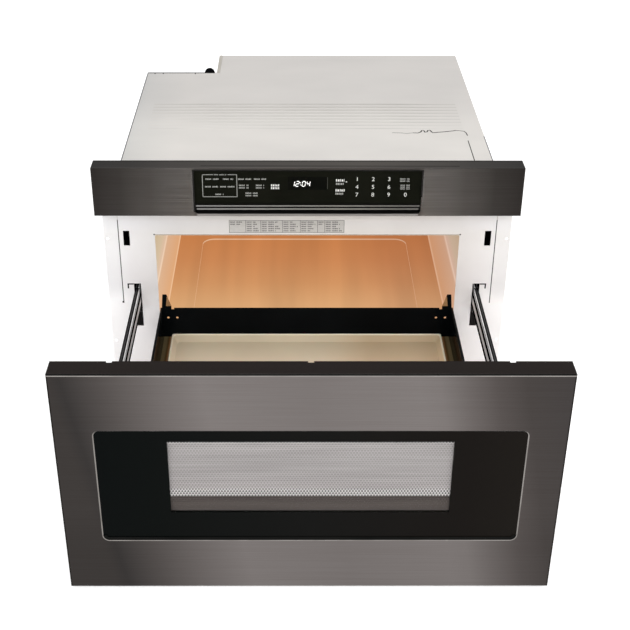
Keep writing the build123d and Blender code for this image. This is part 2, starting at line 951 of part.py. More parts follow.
# High voltage capacitor: an oval can standing on the base pan, with two terminals.
capacitor_width = 52
capacitor_depth = 32
capacitor_height = 74
terminal_size = 6
terminal_height = 12
terminal_sheet = 1
with BuildPart() as capacitor:
    with BuildSketch(Plane.XY.offset(pan_sheet)):
        with Locations((0, core_y)):
            SlotOverall(capacitor_width, capacitor_depth)
    extrude(amount=capacitor_height)
    with Locations((0, core_y, pan_sheet + capacitor_height)):
        with GridLocations(capacitor_width / 2, 1, 2, 1):
            Box(
                terminal_size,
                terminal_sheet,
                terminal_height,
                align=(Align.CENTER, Align.CENTER, Align.MIN),
            )
capacitor.part.label = "capacitor"
export_step(capacitor.part, "parts/capacitor.step")

# Mains filter board on the base pan: a board on four posts with a choke and a fuse holder.
filter_x = 215
filter_board_width = 80
filter_board_depth = 90
filter_post_height = 14
filter_post_radius = 4
filter_post_inset = 7
choke_coil_radius = 14
choke_coil_height = 18
choke_coil_offset = 20
fuse_length = 36
fuse_width = 12
fuse_height = 10
fuse_offset = 24
with BuildPart() as filter_board:
    board_low = pan_sheet + filter_post_height
    with Locations((filter_x, core_y, board_low)):
        Box(
            filter_board_width,
            filter_board_depth,
            board_sheet,
            align=(Align.CENTER, Align.CENTER, Align.MIN),
        )
        with GridLocations(
            filter_board_width - 2 * filter_post_inset,
            filter_board_depth - 2 * filter_post_inset,
            2,
            2,
        ):
            Cylinder(
                filter_post_radius,
                filter_post_height,
                align=(Align.CENTER, Align.CENTER, Align.MAX),
            )
    with Locations((filter_x, core_y - choke_coil_offset, board_low + board_sheet)):
        Cylinder(
            choke_coil_radius,
            choke_coil_height,
            align=(Align.CENTER, Align.CENTER, Align.MIN),
        )
    with Locations((filter_x, core_y + fuse_offset, board_low + board_sheet)):
        Box(
            fuse_length,
            fuse_width,
            fuse_height,
            align=(Align.CENTER, Align.CENTER, Align.MIN),
        )
filter_board.part.label = "filter_board"
export_step(filter_board.part, "parts/filter_board.step")

# ---------------------------------------------------------------- cooling fan and lamp

fan_set_back = 1
fan_y = (cavity_rear_y + rear_y) / 2 + fan_set_back
fan_plate_sheet = 2
fan_ring_depth = 20
fan_ring_wall = 2
fan_plate_height = 124
fan_arm_width = 8
fan_arm_sheet = 3
fan_arm_overlap = 4
fan_arm_count = 4
fan_arm_angle = 45
fan_plate_low_y = cavity_rear_y + cavity_sheet
fan_motor_x = fan_x + fan_plate_sheet + fan_ring_depth
fan_motor_size = 46
fan_motor_depth = 26
fan_boss_radius = 16


def fan_axis_place(x):
    """A place on the fan's axis whose local Z runs along X."""
    return Location((x, fan_y, fan_z), (0, 90, 0))


# Shroud: a plate across the rear compartment with a ring, and arms that carry the motor.
with BuildPart() as fan_shroud:
    block(
        (fan_x, fan_x + fan_plate_sheet),
        (fan_plate_low_y, rear_y - case_sheet),
        (fan_z - fan_plate_height / 2, fan_z + fan_plate_height / 2),
    )
    with Locations(fan_axis_place(fan_x + fan_plate_sheet)):
        Cylinder(
            fan_opening_radius + fan_ring_wall,
            fan_ring_depth,
            align=(Align.CENTER, Align.CENTER, Align.MIN),
        )
    with Locations(fan_axis_place(fan_x)):
        Cylinder(
            fan_opening_radius,
            fan_ring_depth + fan_plate_sheet,
            align=(Align.CENTER, Align.CENTER, Align.MIN),
            mode=Mode.SUBTRACT,
        )
    with Locations(fan_axis_place(fan_motor_x - fan_arm_sheet)):
        with PolarLocations(
            (fan_opening_radius + fan_boss_radius) / 2,
            fan_arm_count,
            start_angle=fan_arm_angle,
        ):
            Box(
                fan_opening_radius - fan_boss_radius + fan_arm_overlap,
                fan_arm_width,
                fan_arm_sheet,
                align=(Align.CENTER, Align.CENTER, Align.MIN),
            )
        Cylinder(
            fan_boss_radius,
            fan_arm_sheet,
            align=(Align.CENTER, Align.CENTER, Align.MIN),
        )
        Cylinder(
            fan_boss_radius / 2,
            fan_arm_sheet,
            align=(Align.CENTER, Align.CENTER, Align.MIN),
            mode=Mode.SUBTRACT,
        )
fan_shroud.part.label = "fan_shroud"
export_step(fan_shroud.part, "parts/fan_shroud.step")

# Fan motor: square laminations with a bearing cap, bored for the fan's shaft.
fan_shaft_reach = 14
fan_cap_radius = 15
fan_cap_height = 6
with BuildPart() as fan_motor:
    with Locations(fan_axis_place(fan_motor_x)):
        Box(
            fan_motor_size,
            fan_motor_size,
            fan_motor_depth,
            align=(Align.CENTER, Align.CENTER, Align.MIN),
        )
        Cylinder(
            fan_cap_radius,
            fan_motor_depth + fan_cap_height,
            align=(Align.CENTER, Align.CENTER, Align.MIN),
        )
        Cylinder(
            fan_shaft_radius + shaft_clearance,
            fan_shaft_reach + shaft_end_gap,
            align=(Align.CENTER, Align.CENTER, Align.MIN),
            mode=Mode.SUBTRACT,
        )
fan_motor.part.label = "fan_motor"
export_step(fan_motor.part, "parts/fan_motor.step")

# Fan wheel: a hub with five pitched blades and its shaft.
fan_hub_radius = 11
fan_hub_depth = 12
fan_blade_sheet = 1.5
fan_blade_width = 34
fan_blade_pitch = 24
fan_blade_count = 5
fan_blade_overlap = 2
fan_wheel_gap = 2
with BuildPart() as fan_wheel:
    with Locations(fan_axis_place(fan_motor_x - fan_arm_sheet - fan_wheel_gap - fan_hub_depth)):
        Cylinder(
            fan_hub_radius,
            fan_hub_depth,
            align=(Align.CENTER, Align.CENTER, Align.MIN),
        )
        Cylinder(
            fan_shaft_radius,
            fan_hub_depth + fan_wheel_gap + fan_arm_sheet + fan_shaft_reach,
            align=(Align.CENTER, Align.CENTER, Align.MIN),
        )
    with Locations(fan_axis_place(fan_motor_x - fan_arm_sheet - fan_wheel_gap - fan_hub_depth / 2)):
        with PolarLocations(
            (fan_hub_radius + fan_wheel_radius) / 2 - fan_blade_overlap,
            fan_blade_count,
        ):
            Box(
                fan_wheel_radius - fan_hub_radius,
                fan_blade_width,
                fan_blade_sheet,
                rotation=(fan_blade_pitch, 0, 0),
            )
fan_wheel.part.label = "fan_wheel"
export_step(fan_wheel.part, "parts/fan_wheel.step")

# Lamp holder: a small box on the cavity's right wall, open towards the perforations.
lamp_box_width = 40
lamp_box_height = 32
lamp_box_depth = 44
lamp_wall_x = cavity_width / 2 + cavity_sheet
with BuildPart() as lamp_holder:
    block(
        (lamp_wall_x, lamp_wall_x + lamp_box_depth),
        (lamp_y - lamp_box_width / 2, lamp_y + lamp_box_width / 2),
        (lamp_z - lamp_box_height / 2, lamp_z + lamp_box_height / 2),
    )
    block(
        (lamp_wall_x, lamp_wall_x + lamp_box_depth - case_sheet),
        (
            lamp_y - lamp_box_width / 2 + case_sheet,
            lamp_y + lamp_box_width / 2 - case_sheet,
        ),
        (
            lamp_z - lamp_box_height / 2 + case_sheet,
            lamp_z + lamp_box_height / 2 - case_sheet,
        ),
        Mode.SUBTRACT,
    )
lamp_holder.part.label = "lamp_holder"
export_step(lamp_holder.part, "parts/lamp_holder.step")

# Lamp: a base on the holder's far wall with a round glass bulb towards the cavity.
lamp_base_radius = 7
lamp_base_length = 17.5
bulb_radius = 11
bulb_x = -lamp_base_length - sqrt(bulb_radius**2 - lamp_base_radius**2)
lamp_seat = (lamp_wall_x + lamp_box_depth - case_sheet, lamp_y, lamp_z)
with BuildPart() as oven_lamp:
    with BuildSketch(Plane(lamp_seat)):
        with BuildLine():
            Polyline(
                (bulb_x - bulb_radius, 0),
                (0, 0),
                (0, lamp_base_radius),
                (-lamp_base_length, lamp_base_radius),
            )
            ThreePointArc(
                (-lamp_base_length, lamp_base_radius),
                (bulb_x, bulb_radius),
                (bulb_x - bulb_radius, 0),
            )
        make_face()
    revolve(axis=Axis(lamp_seat, (1, 0, 0)))
oven_lamp.part.label = "oven_lamp"
export_step(oven_lamp.part, "parts/oven_lamp.step")

# ---------------------------------------------------------------- interlocks

housing_half_width = 8
housing_height = 38
housing_length = 42
switch_length = 28
switch_height = 26
switch_rear_wall = 6
plunger_end_gap = 2
hook_side_clearance = 1.5
hook_tip_closed_y = drawer_back_y + drawer_travel + hook_length
plunger_tip_y = hook_tip_closed_y + plunger_gap
switch_y = behind_face_y + housing_length

# Latch housings: blocks behind the latch slots, with a channel for the hook.
with BuildPart() as latch_housing:
    block(
        (latch_x - housing_half_width, latch_x + housing_half_width),
        (behind_face_y, switch_y),
        (latch_z - housing_height / 2, latch_z + housing_height / 2),
    )
    block(
        (
            latch_x - hook_width / 2 - hook_side_clearance,
            latch_x + hook_width / 2 + hook_side_clearance,
        ),
        (behind_face_y, switch_y),
        (
            latch_z - latch_slot_height / 2,
            latch_z + latch_slot_height / 2,
        ),
        Mode.SUBTRACT,
    )
latch_housings = with_mirror_image(latch_housing.part)
latch_housings.label = "latch_housings"
export_step(latch_housings, "parts/latch_housings.step")

# Interlock switches close the channels' rear ends; each is bored for its plunger.
plunger_bore_clearance = 0.08
with BuildPart() as interlock_switch:
    block(
        (latch_x - housing_half_width, latch_x + housing_half_width),
        (switch_y, switch_y + switch_length),
        (latch_z - switch_height / 2, latch_z + switch_height / 2),
    )
    with Locations(Location((latch_x, switch_y, latch_z), (-90, 0, 0))):
        Cylinder(
            plunger_radius + plunger_bore_clearance,
            switch_length - switch_rear_wall,
            align=(Align.CENTER, Align.CENTER, Align.MIN),
            mode=Mode.SUBTRACT,
        )
interlock_switches = with_mirror_image(interlock_switch.part)
interlock_switches.label = "interlock_switches"
export_step(interlock_switches, "parts/interlock_switches.step")

# Plungers: round pins that reach forward to where the shut drawer's hooks end.
plunger_rear_y = switch_y + switch_length - switch_rear_wall - plunger_travel - plunger_end_gap
plunger_length = plunger_rear_y - plunger_tip_y
with BuildPart() as plunger_right:
    with Locations(Location((latch_x, plunger_tip_y, latch_z), (-90, 0, 0))):
        Cylinder(
            plunger_radius,
            plunger_length,
            align=(Align.CENTER, Align.CENTER, Align.MIN),
        )
plunger_right.part.label = "plunger_right"
export_step(plunger_right.part, "parts/plunger_right.step")
plunger_left = mirror_image(plunger_right.part)
plunger_left.label = "plunger_left"
export_step(plunger_left, "parts/plunger_left.step")

# ---------------------------------------------------------------- slides

middle_x = slide_x + middle_inset
slide_outer_x = slide_x + slide_depth
cabinet_member_y = behind_face_y
middle_member_y = cabinet_member_y + closed_gap - drawer_travel / 2
drawer_member_y = frame_back_y + bracket_sheet
drawer_member_rear_y = cabinet_member_y + slide_length - drawer_travel
outer_ball_radius = (slide_half_height - slide_sheet - middle_half_height) / 2 - ball_clearance
inner_ball_radius = (middle_half_height - slide_sheet - inner_half_height) / 2 - ball_clearance


def channel(x_span, half_height, y_span, sheet, web_outside):
    """A channel lying along Y: a web on its outer or inner side and two flanges."""
    low, high = x_span
    opening = (low, high - sheet) if web_outside else (low + sheet, high)
    block(x_span, y_span, (slide_z - half_height, slide_z + half_height))
    block(
        opening,
        y_span,
        (slide_z - half_height + sheet, slide_z + half_height - sheet),
        Mode.SUBTRACT,
    )


# Cabinet members: channels that open towards the drawer.
with BuildPart() as cabinet_member:
    channel(
        (middle_x, slide_outer_x),
        slide_half_height,
        (cabinet_member_y, cabinet_member_y + slide_length),
        slide_sheet,
        True,
    )
slide_cabinet_members = with_mirror_image(cabinet_member.part)
slide_cabinet_members.label = "slide_cabinet_members"
export_step(slide_cabinet_members, "parts/slide_cabinet_members.step")

# Mounting rails: hat-shaped rails that carry the cabinet members on the case's sides.
rail_foot = 12
rail_sheet = 1.2
rail_step = 4
rail_half_height = slide_half_height - rail_step
with BuildPart() as slide_mount:
    channel(
        (slide_outer_x, side_x - case_sheet),
        rail_half_height,
        (cabinet_member_y, cabinet_member_y + slide_length),
        rail_sheet,
        False,
    )
    for foot_z in (
        (slide_z + rail_half_height, slide_z + rail_half_height + rail_foot),
        (slide_z - rail_half_height - rail_foot, slide_z - rail_half_height),
    ):
        block(
            (side_x - case_sheet - rail_sheet, side_x - case_sheet),
            (cabinet_member_y, cabinet_member_y + slide_length),
            foot_z,
        )
slide_mounts = with_mirror_image(slide_mount.part)
slide_mounts.label = "slide_mounts"
export_step(slide_mounts, "parts/slide_mounts.step")

# Middle members: they move half as far as the drawer.
with BuildPart() as middle_member:
    channel(
        (middle_x, middle_x + middle_depth),
        middle_half_height,
        (middle_member_y, middle_member_y + slide_length),
        slide_sheet,
        True,
    )
slide_middle_members = with_mirror_image(middle_member.part)
slide_middle_members.label = "slide_middle_members"
export_step(slide_middle_members, "parts/slide_middle_members.step")

# Drawer members: channels that open away from the drawer and end in its inner frame.
with BuildPart() as drawer_member:
    channel(
        (slide_x, slide_x + inner_depth),
        inner_half_height,
        (drawer_member_y, drawer_member_rear_y),
        slide_sheet,
        False,
    )
slide_drawer_members = with_mirror_image(drawer_member.part)
slide_drawer_members.label = "slide_drawer_members"
export_step(slide_drawer_members, "parts/slide_drawer_members.step")


def ball_cage(centre_y, ball_x, ball_z, ball_radius, x_span):
    """A channel-shaped cage round a member, with a row of balls in each of its flanges."""
    half_height = ball_z + cage_sheet / 2
    y_span = (centre_y - cage_length / 2, centre_y + cage_length / 2)
    channel(x_span, half_height, y_span, cage_sheet, True)
    step = cage_length / ball_count
    row = [centre_y + (index - (ball_count - 1) / 2) * step for index in range(ball_count)]
    with Locations(*[(ball_x, y, slide_z + side * ball_z) for y in row for side in (-1, 1)]):
        Cylinder(ball_radius + ball_hole_clearance, 2 * cage_sheet, mode=Mode.SUBTRACT)
        Sphere(ball_radius)


# Outer ball cages, between cabinet and middle members: a quarter of the drawer's travel.
outer_ball_z = (slide_half_height - slide_sheet + middle_half_height) / 2
outer_cage_y = (cabinet_member_y + middle_member_y + slide_length) / 2
outer_web_x = (middle_x + middle_depth + slide_outer_x - slide_sheet) / 2
with BuildPart() as outer_cage:
    ball_cage(
        outer_cage_y,
        middle_x + middle_depth / 2,
        outer_ball_z,
        outer_ball_radius,
        (middle_x + cage_clearance, outer_web_x + cage_sheet / 2),
    )
slide_outer_cages = with_mirror_image(outer_cage.part)
slide_outer_cages.label = "slide_outer_cages"
export_step(slide_outer_cages, "parts/slide_outer_cages.step")

# Inner ball cages, between middle and drawer members: three quarters of the travel.
inner_ball_z = (middle_half_height - slide_sheet + inner_half_height) / 2
inner_cage_y = (middle_member_y + drawer_member_rear_y) / 2
inner_web_x = (slide_x + inner_depth + middle_x + middle_depth - slide_sheet) / 2
with BuildPart() as inner_cage:
    ball_cage(
        inner_cage_y,
        (middle_x + slide_x + inner_depth) / 2,
        inner_ball_z,
        inner_ball_radius,
        (middle_x + cage_clearance, inner_web_x + cage_sheet / 2),
    )
slide_inner_cages = with_mirror_image(inner_cage.part)
slide_inner_cages.label = "slide_inner_cages"
export_step(slide_inner_cages, "parts/slide_inner_cages.step")

# Drawer brackets: an arm on each drawer member and a foot on the drawer's inner frame.
bracket_screw_radius = 1.5
bracket_screw_clearance = 0.2
bracket_screw_head_radius = 3.2
bracket_screw_head = 1.8
bracket_screw_reach = 5
bracket_screw_points = [
    (slide_x + bracket_screw_inset, slide_z + side * inner_half_height / 2) for side in (-1, 1)
]
with BuildPart() as drawer_bracket:
    block(
        (slide_x - bracket_sheet, slide_x),
        (frame_back_y, frame_back_y + bracket_length),
        (slide_z - inner_half_height, slide_z + inner_half_height),
    )
    block(
        (slide_x, slide_x + bracket_foot),
        (frame_back_y, frame_back_y + bracket_sheet),
        (slide_z - inner_half_height, slide_z + inner_half_height),
    )
    with BuildSketch(upright(frame_back_y)):
        with Locations(*bracket_screw_points):
            Circle(bracket_screw_radius + bracket_screw_clearance)
    extrude(amount=-bracket_sheet, mode=Mode.SUBTRACT)
drawer_brackets = with_mirror_image(drawer_bracket.part)
drawer_brackets.label = "drawer_brackets"
export_step(drawer_brackets, "parts/drawer_brackets.step")

# Screws through the brackets' feet into the inner frame.
with BuildPart() as bracket_screw:
    for x, z in bracket_screw_points:
        with Locations(Location((x, frame_back_y + bracket_sheet, z), (-90, 0, 0))):
            Cylinder(
                bracket_screw_head_radius,
                bracket_screw_head,
                align=(Align.CENTER, Align.CENTER, Align.MIN),
            )
            Cylinder(
                bracket_screw_radius,
                bracket_screw_reach,
                align=(Align.CENTER, Align.CENTER, Align.MAX),
            )
bracket_screws = with_mirror_image(bracket_screw.part)
bracket_screws.label = "bracket_screws"
export_step(bracket_screws, "parts/bracket_screws.step")

# ---------------------------------------------------------------- rack drive

rack_root_z = rack_pitch_z + tooth_root_share * rack_module
rack_tooth_step = pi * rack_module
rack_rear_y = shaft_y + rack_rear_reach
gear_width = rack_width
drive_centre_distance = drive_module * (drive_gear_teeth + motor_pinion_teeth) / 2
motor_axis_y = shaft_y + drive_centre_distance
bearing_x = rack_x + bearing_offset


def half_tooth_angle(radius, module, teeth):
    """Half the angle that an involute tooth takes at a radius, in radians."""
    pitch_radius = module * teeth / 2
    base_radius = pitch_radius * cos(radians(pressure_angle))

    def involute(at_radius):
        slope = sqrt(max((at_radius / base_radius) ** 2 - 1, 0))
        return slope - atan(slope)

    at_pitch = (pi * module - tooth_backlash) / (4 * pitch_radius)
    return at_pitch + involute(pitch_radius) - involute(radius)


def gear_points(module, teeth, centre, first_tooth):
    """Outline of a spur gear round a centre; first_tooth is that tooth's angle in degrees."""
    pitch_radius = module * teeth / 2
    root_radius = pitch_radius - tooth_root_share * module
    tip_radius = pitch_radius + module
    flank_start = max(root_radius, pitch_radius * cos(radians(pressure_angle)))
    flank_steps = 5
    radii = [root_radius] + [
        flank_start + (tip_radius - flank_start) * step / flank_steps
        for step in range(flank_steps + 1)
    ]
    points = []
    for tooth in range(teeth):
        middle = radians(first_tooth + 360 * tooth / teeth)
        rising = [(radius, middle - half_tooth_angle(radius, module, teeth)) for radius in radii]
        falling = [(radius, 2 * middle - angle) for radius, angle in reversed(rising)]
        for radius, angle in rising + falling:
            points.append((centre[0] + radius * cos(angle), centre[1] + radius * sin(angle)))
    return points


def rack_points():
    """Outline of a rack seen from the side, its teeth down and a gap over the pinion's top."""
    front_teeth = ceil((drawer_travel + rack_rear_reach) / rack_tooth_step)
    rear_teeth = int(rack_rear_reach / rack_tooth_step)
    half_pitch_tooth = (rack_tooth_step - tooth_backlash / 2) / 4
    slope = tan(radians(pressure_angle))
    root_half = half_pitch_tooth + (rack_root_z - rack_pitch_z) * slope
    tip_half = half_pitch_tooth - (rack_pitch_z - rack_tip_z) * slope
    points = [(frame_back_y, rack_root_z)]
    for tooth in range(-front_teeth, rear_teeth):
        middle = shaft_y + (tooth + 0.5) * rack_tooth_step
        points += [
            (middle - root_half, rack_root_z),
            (middle - tip_half, rack_tip_z),
            (middle + tip_half, rack_tip_z),
            (middle + root_half, rack_root_z),
        ]
    points += [(rack_rear_y, rack_root_z), (rack_rear_y, rack_top), (frame_back_y, rack_top)]
    return points


# Racks under the basket, each with a foot on the drawer's inner frame.
with BuildPart() as rack:
    with BuildSketch(sideways(rack_x - rack_width / 2)):
        with BuildLine():
            Polyline(*rack_points(), close=True)
        make_face()
    extrude(amount=rack_width)
    block(
        (rack_x - rack_foot_width / 2, rack_x + rack_foot_width / 2),
        (frame_back_y, frame_back_y + rack_foot_sheet),
        (rack_tip_z, rack_top),
    )
racks = with_mirror_image(rack.part)
racks.label = "racks"
export_step(racks, "parts/racks.step")

# Rack guides: inverted channels behind the face plate that keep the racks down and straight.
guide_half_gap = rack_width / 2 + rack_clearance
with BuildPart() as rack_guide:
    block(
        (rack_x - guide_half_gap - guide_wall, rack_x + guide_half_gap + guide_wall),
        (behind_face_y, behind_face_y + guide_length),
        (rack_root_z + rack_clearance, rack_top + rack_clearance + guide_wall),
    )
    block(
        (rack_x - guide_half_gap, rack_x + guide_half_gap),
        (behind_face_y, behind_face_y + guide_length),
        (rack_root_z + rack_clearance, rack_top + rack_clearance),
        Mode.SUBTRACT,
    )
rack_guides = with_mirror_image(rack_guide.part)
rack_guides.label = "rack_guides"
export_step(rack_guides, "parts/rack_guides.step")


def shaft_cylinder(x_low, x_high, y, radius, mode=Mode.ADD):
    """A round bar along X at the height of the cross shaft."""
    with Locations(Location((x_low, y, shaft_z), (0, 90, 0))):
        Cylinder(
            radius,
            x_high - x_low,
            align=(Align.CENTER, Align.CENTER, Align.MIN),
            mode=mode,
        )


# Cross shaft, which keeps both racks level with each other.
shaft_end_x = bearing_x + bearing_width / 2 + shaft_overhang
with BuildPart() as cross_shaft:
    shaft_cylinder(-shaft_end_x, shaft_end_x, shaft_y, shaft_radius)
cross_shaft.part.label = "cross_shaft"
export_step(cross_shaft.part, "parts/cross_shaft.step")

# The two rack pinions and the drive gear on the cross shaft.
with BuildPart() as drive_gears:
    for gear_x, width, module, teeth, first_tooth in (
        (-rack_x, gear_width, rack_module, pinion_teeth, 90),
        (rack_x, gear_width, rack_module, pinion_teeth, 90),
        (drive_gear_x, drive_gear_width, drive_module, drive_gear_teeth, 0),
    ):
        with BuildSketch(sideways(gear_x - width / 2)):
            with BuildLine():
                Polyline(
                    *gear_points(module, teeth, (shaft_y, shaft_z), first_tooth),
                    close=True,
                )
            make_face()
        extrude(amount=width)
    shaft_cylinder(
        -shaft_end_x,
        shaft_end_x,
        shaft_y,
        shaft_radius + shaft_clearance,
        Mode.SUBTRACT,
    )
drive_gears.part.label = "drive_gears"
export_step(drive_gears.part, "parts/drive_gears.step")

# Shaft bearings: posts on the base pan, outside the racks.
bearing_foot = 24
bearing_depth = 26
bearing_foot_height = 3
bearing_wall = 9
with BuildPart() as shaft_bearing:
    block(
        (bearing_x - bearing_width / 2, bearing_x + bearing_width / 2),
        (shaft_y - bearing_depth / 2, shaft_y + bearing_depth / 2),
        (pan_sheet, shaft_z + shaft_radius + bearing_wall),
    )
    block(
        (bearing_x - bearing_width / 2, bearing_x - bearing_width / 2 + bearing_foot),
        (shaft_y - bearing_depth / 2, shaft_y + bearing_depth / 2),
        (pan_sheet, pan_sheet + bearing_foot_height),
    )
    shaft_cylinder(
        bearing_x - bearing_width / 2,
        bearing_x + bearing_width / 2,
        shaft_y,
        shaft_radius + shaft_clearance,
        Mode.SUBTRACT,
    )
shaft_bearings = with_mirror_image(shaft_bearing.part)
shaft_bearings.label = "shaft_bearings"
export_step(shaft_bearings, "parts/shaft_bearings.step")

# Gear motor on the base pan: a gearbox with a round motor on its side.
motor_pinion_width = 10
motor_pinion_gap = 2
motor_shaft_radius = 3
motor_shaft_seat = 12
gearbox_length = 30
gearbox_width = 48
gearbox_setback = 20
gearbox_height = 66
drive_motor_radius = 18
drive_motor_length = 34
gearbox_x = drive_gear_x + motor_pinion_width / 2 + motor_pinion_gap
gearbox_y = motor_axis_y - gearbox_setback
with BuildPart() as drive_motor:
    block(
        (gearbox_x, gearbox_x + gearbox_length),
        (gearbox_y, gearbox_y + gearbox_width),
        (pan_sheet, pan_sheet + gearbox_height),
    )
    with Locations(
        Location(
            (
                gearbox_x + gearbox_length,
                gearbox_y + gearbox_width / 2,
                pan_sheet + gearbox_height / 2,
            ),
            (0, 90, 0),
        )
    ):
        Cylinder(
            drive_motor_radius,
            drive_motor_length,
            align=(Align.CENTER, Align.CENTER, Align.MIN),
        )
    shaft_cylinder(
        gearbox_x,
        gearbox_x + motor_shaft_seat + shaft_end_gap,
        motor_axis_y,
        motor_shaft_radius + shaft_clearance,
        Mode.SUBTRACT,
    )
drive_motor.part.label = "drive_motor"
export_step(drive_motor.part, "parts/drive_motor.step")

# Motor pinion on its shaft, with a gap between two teeth where the drive gear's tooth enters.
with BuildPart() as motor_pinion:
    with BuildSketch(sideways(drive_gear_x - motor_pinion_width / 2)):
        with BuildLine():
            Polyline(
                *gear_points(
                    drive_module,
                    motor_pinion_teeth,
                    (motor_axis_y, shaft_z),
                    180 + 180 / motor_pinion_teeth,
                ),
                close=True,
            )
        make_face()
    extrude(amount=motor_pinion_width)
    shaft_cylinder(
        drive_gear_x,
        gearbox_x + motor_shaft_seat,
        motor_axis_y,
        motor_shaft_radius,
    )
motor_pinion.part.label = "motor_pinion"
export_step(motor_pinion.part, "parts/motor_pinion.step")

# ---------------------------------------------------------------- drawer front

front_half = front_width / 2
window_z = drawer_front_lift + window_bottom + window_height / 2
screen_z = drawer_front_lift + screen_bottom + screen_height / 2
glass_front = drawer_front_y + skin_sheet
glass_back = glass_front + window_glass_sheet
screen_outer_width = screen_width + 2 * screen_edge
screen_outer_height = screen_height + 2 * screen_edge
trim_low = drawer_top - top_trim_sheet

# Brushed skin: front, sides and bottom of one sheet, with the window opening.
with BuildPart() as drawer_front_skin:
    block(
        (-front_half, front_half),
        (drawer_front_y, drawer_back_y),
        (drawer_front_lift, drawer_top),
    )
    block(
        (-front_half + skin_sheet, front_half - skin_sheet),
        (drawer_front_y + skin_sheet, drawer_back_y),
        (drawer_front_lift + skin_sheet, drawer_top),
        Mode.SUBTRACT,
    )
    with BuildSketch(upright(drawer_front_y)):
        with Locations((0, window_z)):
            RectangleRounded(window_width, window_height, window_corner)
    extrude(amount=-skin_sheet, mode=Mode.SUBTRACT)
drawer_front_skin.part.label = "drawer_front_skin"
export_step(drawer_front_skin.part, "parts/drawer_front_skin.step")

# Top trim: a dark strip between the skin's front and the drawer's back, notched at its rear.
with BuildPart() as drawer_top_trim:
    block(
        (-front_half + skin_sheet, front_half - skin_sheet),
        (drawer_front_y + skin_sheet, drawer_back_y),
        (trim_low, drawer_top),
    )
    for step in (-1, 0, 1):
        notch_x = step * trim_notch_spacing
        block(
            (notch_x - trim_notch_width / 2, notch_x + trim_notch_width / 2),
            (drawer_back_y - trim_notch_depth, drawer_back_y),
            (trim_low, drawer_top),
            Mode.SUBTRACT,
        )
drawer_top_trim.part.label = "drawer_top_trim"
export_step(drawer_top_trim.part, "parts/drawer_top_trim.step")

# Window glass behind the skin, and the perforated screen on its back.
with BuildPart() as window_glass:
    with BuildSketch(upright(glass_front)):
        with Locations((0, window_z)):
            RectangleRounded(
                window_width + 2 * pane_overlap,
                window_height + 2 * pane_overlap,
                window_corner + pane_overlap,
            )
    extrude(amount=-window_glass_sheet)
window_glass.part.label = "window_glass"
export_step(window_glass.part, "parts/window_glass.step")

with BuildPart() as window_screen:
    with BuildSketch(upright(glass_back)):
        with Locations((0, screen_z)):
            Rectangle(screen_outer_width, screen_outer_height)
    extrude(amount=-screen_sheet)
window_screen.part.label = "window_screen"
export_step(window_screen.part, "parts/window_screen.step")

# Inner frame: a panel with a tunnel round the screen, a rim at its edge and screw holes.
tunnel_width = screen_outer_width + 2 * screen_clearance
tunnel_height = screen_outer_height + 2 * screen_clearance
frame_x = front_half - skin_sheet
frame_low = drawer_front_lift + skin_sheet
with BuildPart() as inner_frame:
    block((-frame_x, frame_x), (inner_frame_y, drawer_back_y), (frame_low, trim_low))
    block(
        (-frame_x + inner_frame_sheet, frame_x - inner_frame_sheet),
        (frame_back_y, drawer_back_y),
        (frame_low + inner_frame_sheet, trim_low - inner_frame_sheet),
        Mode.SUBTRACT,
    )
    with BuildSketch(upright(glass_back)):
        with Locations((0, screen_z)):
            Rectangle(tunnel_width + 2 * inner_frame_sheet, tunnel_height + 2 * inner_frame_sheet)
    extrude(amount=glass_back - inner_frame_y)
    with BuildSketch(upright(glass_back)):
        with Locations((0, screen_z)):
            Rectangle(tunnel_width, tunnel_height)
        for side in (-1, 1):
            with Locations(*[(side * x, z) for x, z in bracket_screw_points]):
                Circle(bracket_screw_radius + bracket_screw_clearance)
    extrude(amount=glass_back - frame_back_y, mode=Mode.SUBTRACT)
inner_frame.part.label = "inner_frame"
export_step(inner_frame.part, "parts/inner_frame.step")

# Inner pane, and the choke cover that holds it and meets the basket.
pane_width = screen_outer_width + 2 * pane_overlap
pane_height = screen_outer_height + 2 * pane_overlap
with BuildPart() as inner_pane:
    with BuildSketch(upright(frame_back_y)):
        with Locations((0, screen_z)):
            Rectangle(pane_width, pane_height)
    extrude(amount=-pane_sheet)
inner_pane.part.label = "inner_pane"
export_step(inner_pane.part, "parts/inner_pane.step")

with BuildPart() as choke_cover:
    with BuildSketch(upright(frame_back_y)):
        with Locations((0, cavity_middle_z)):
            RectangleRounded(
                cavity_width + 2 * choke_width,
                cavity_height + 2 * choke_width,
                choke_width,
            )
    extrude(amount=-(drawer_back_y - frame_back_y))
    with BuildSketch(upright(frame_back_y)):
        with Locations((0, screen_z)):
            Rectangle(pane_width + 2 * screen_clearance, pane_height + 2 * screen_clearance)
    extrude(amount=-pane_sheet, mode=Mode.SUBTRACT)
    with BuildSketch(upright(frame_back_y)):
        with Locations((0, screen_z)):
            Rectangle(screen_width + 2 * choke_lip, screen_height + 2 * choke_lip)
    extrude(amount=-(drawer_back_y - frame_back_y), mode=Mode.SUBTRACT)
choke_cover.part.label = "choke_cover"
export_step(choke_cover.part, "parts/choke_cover.step")

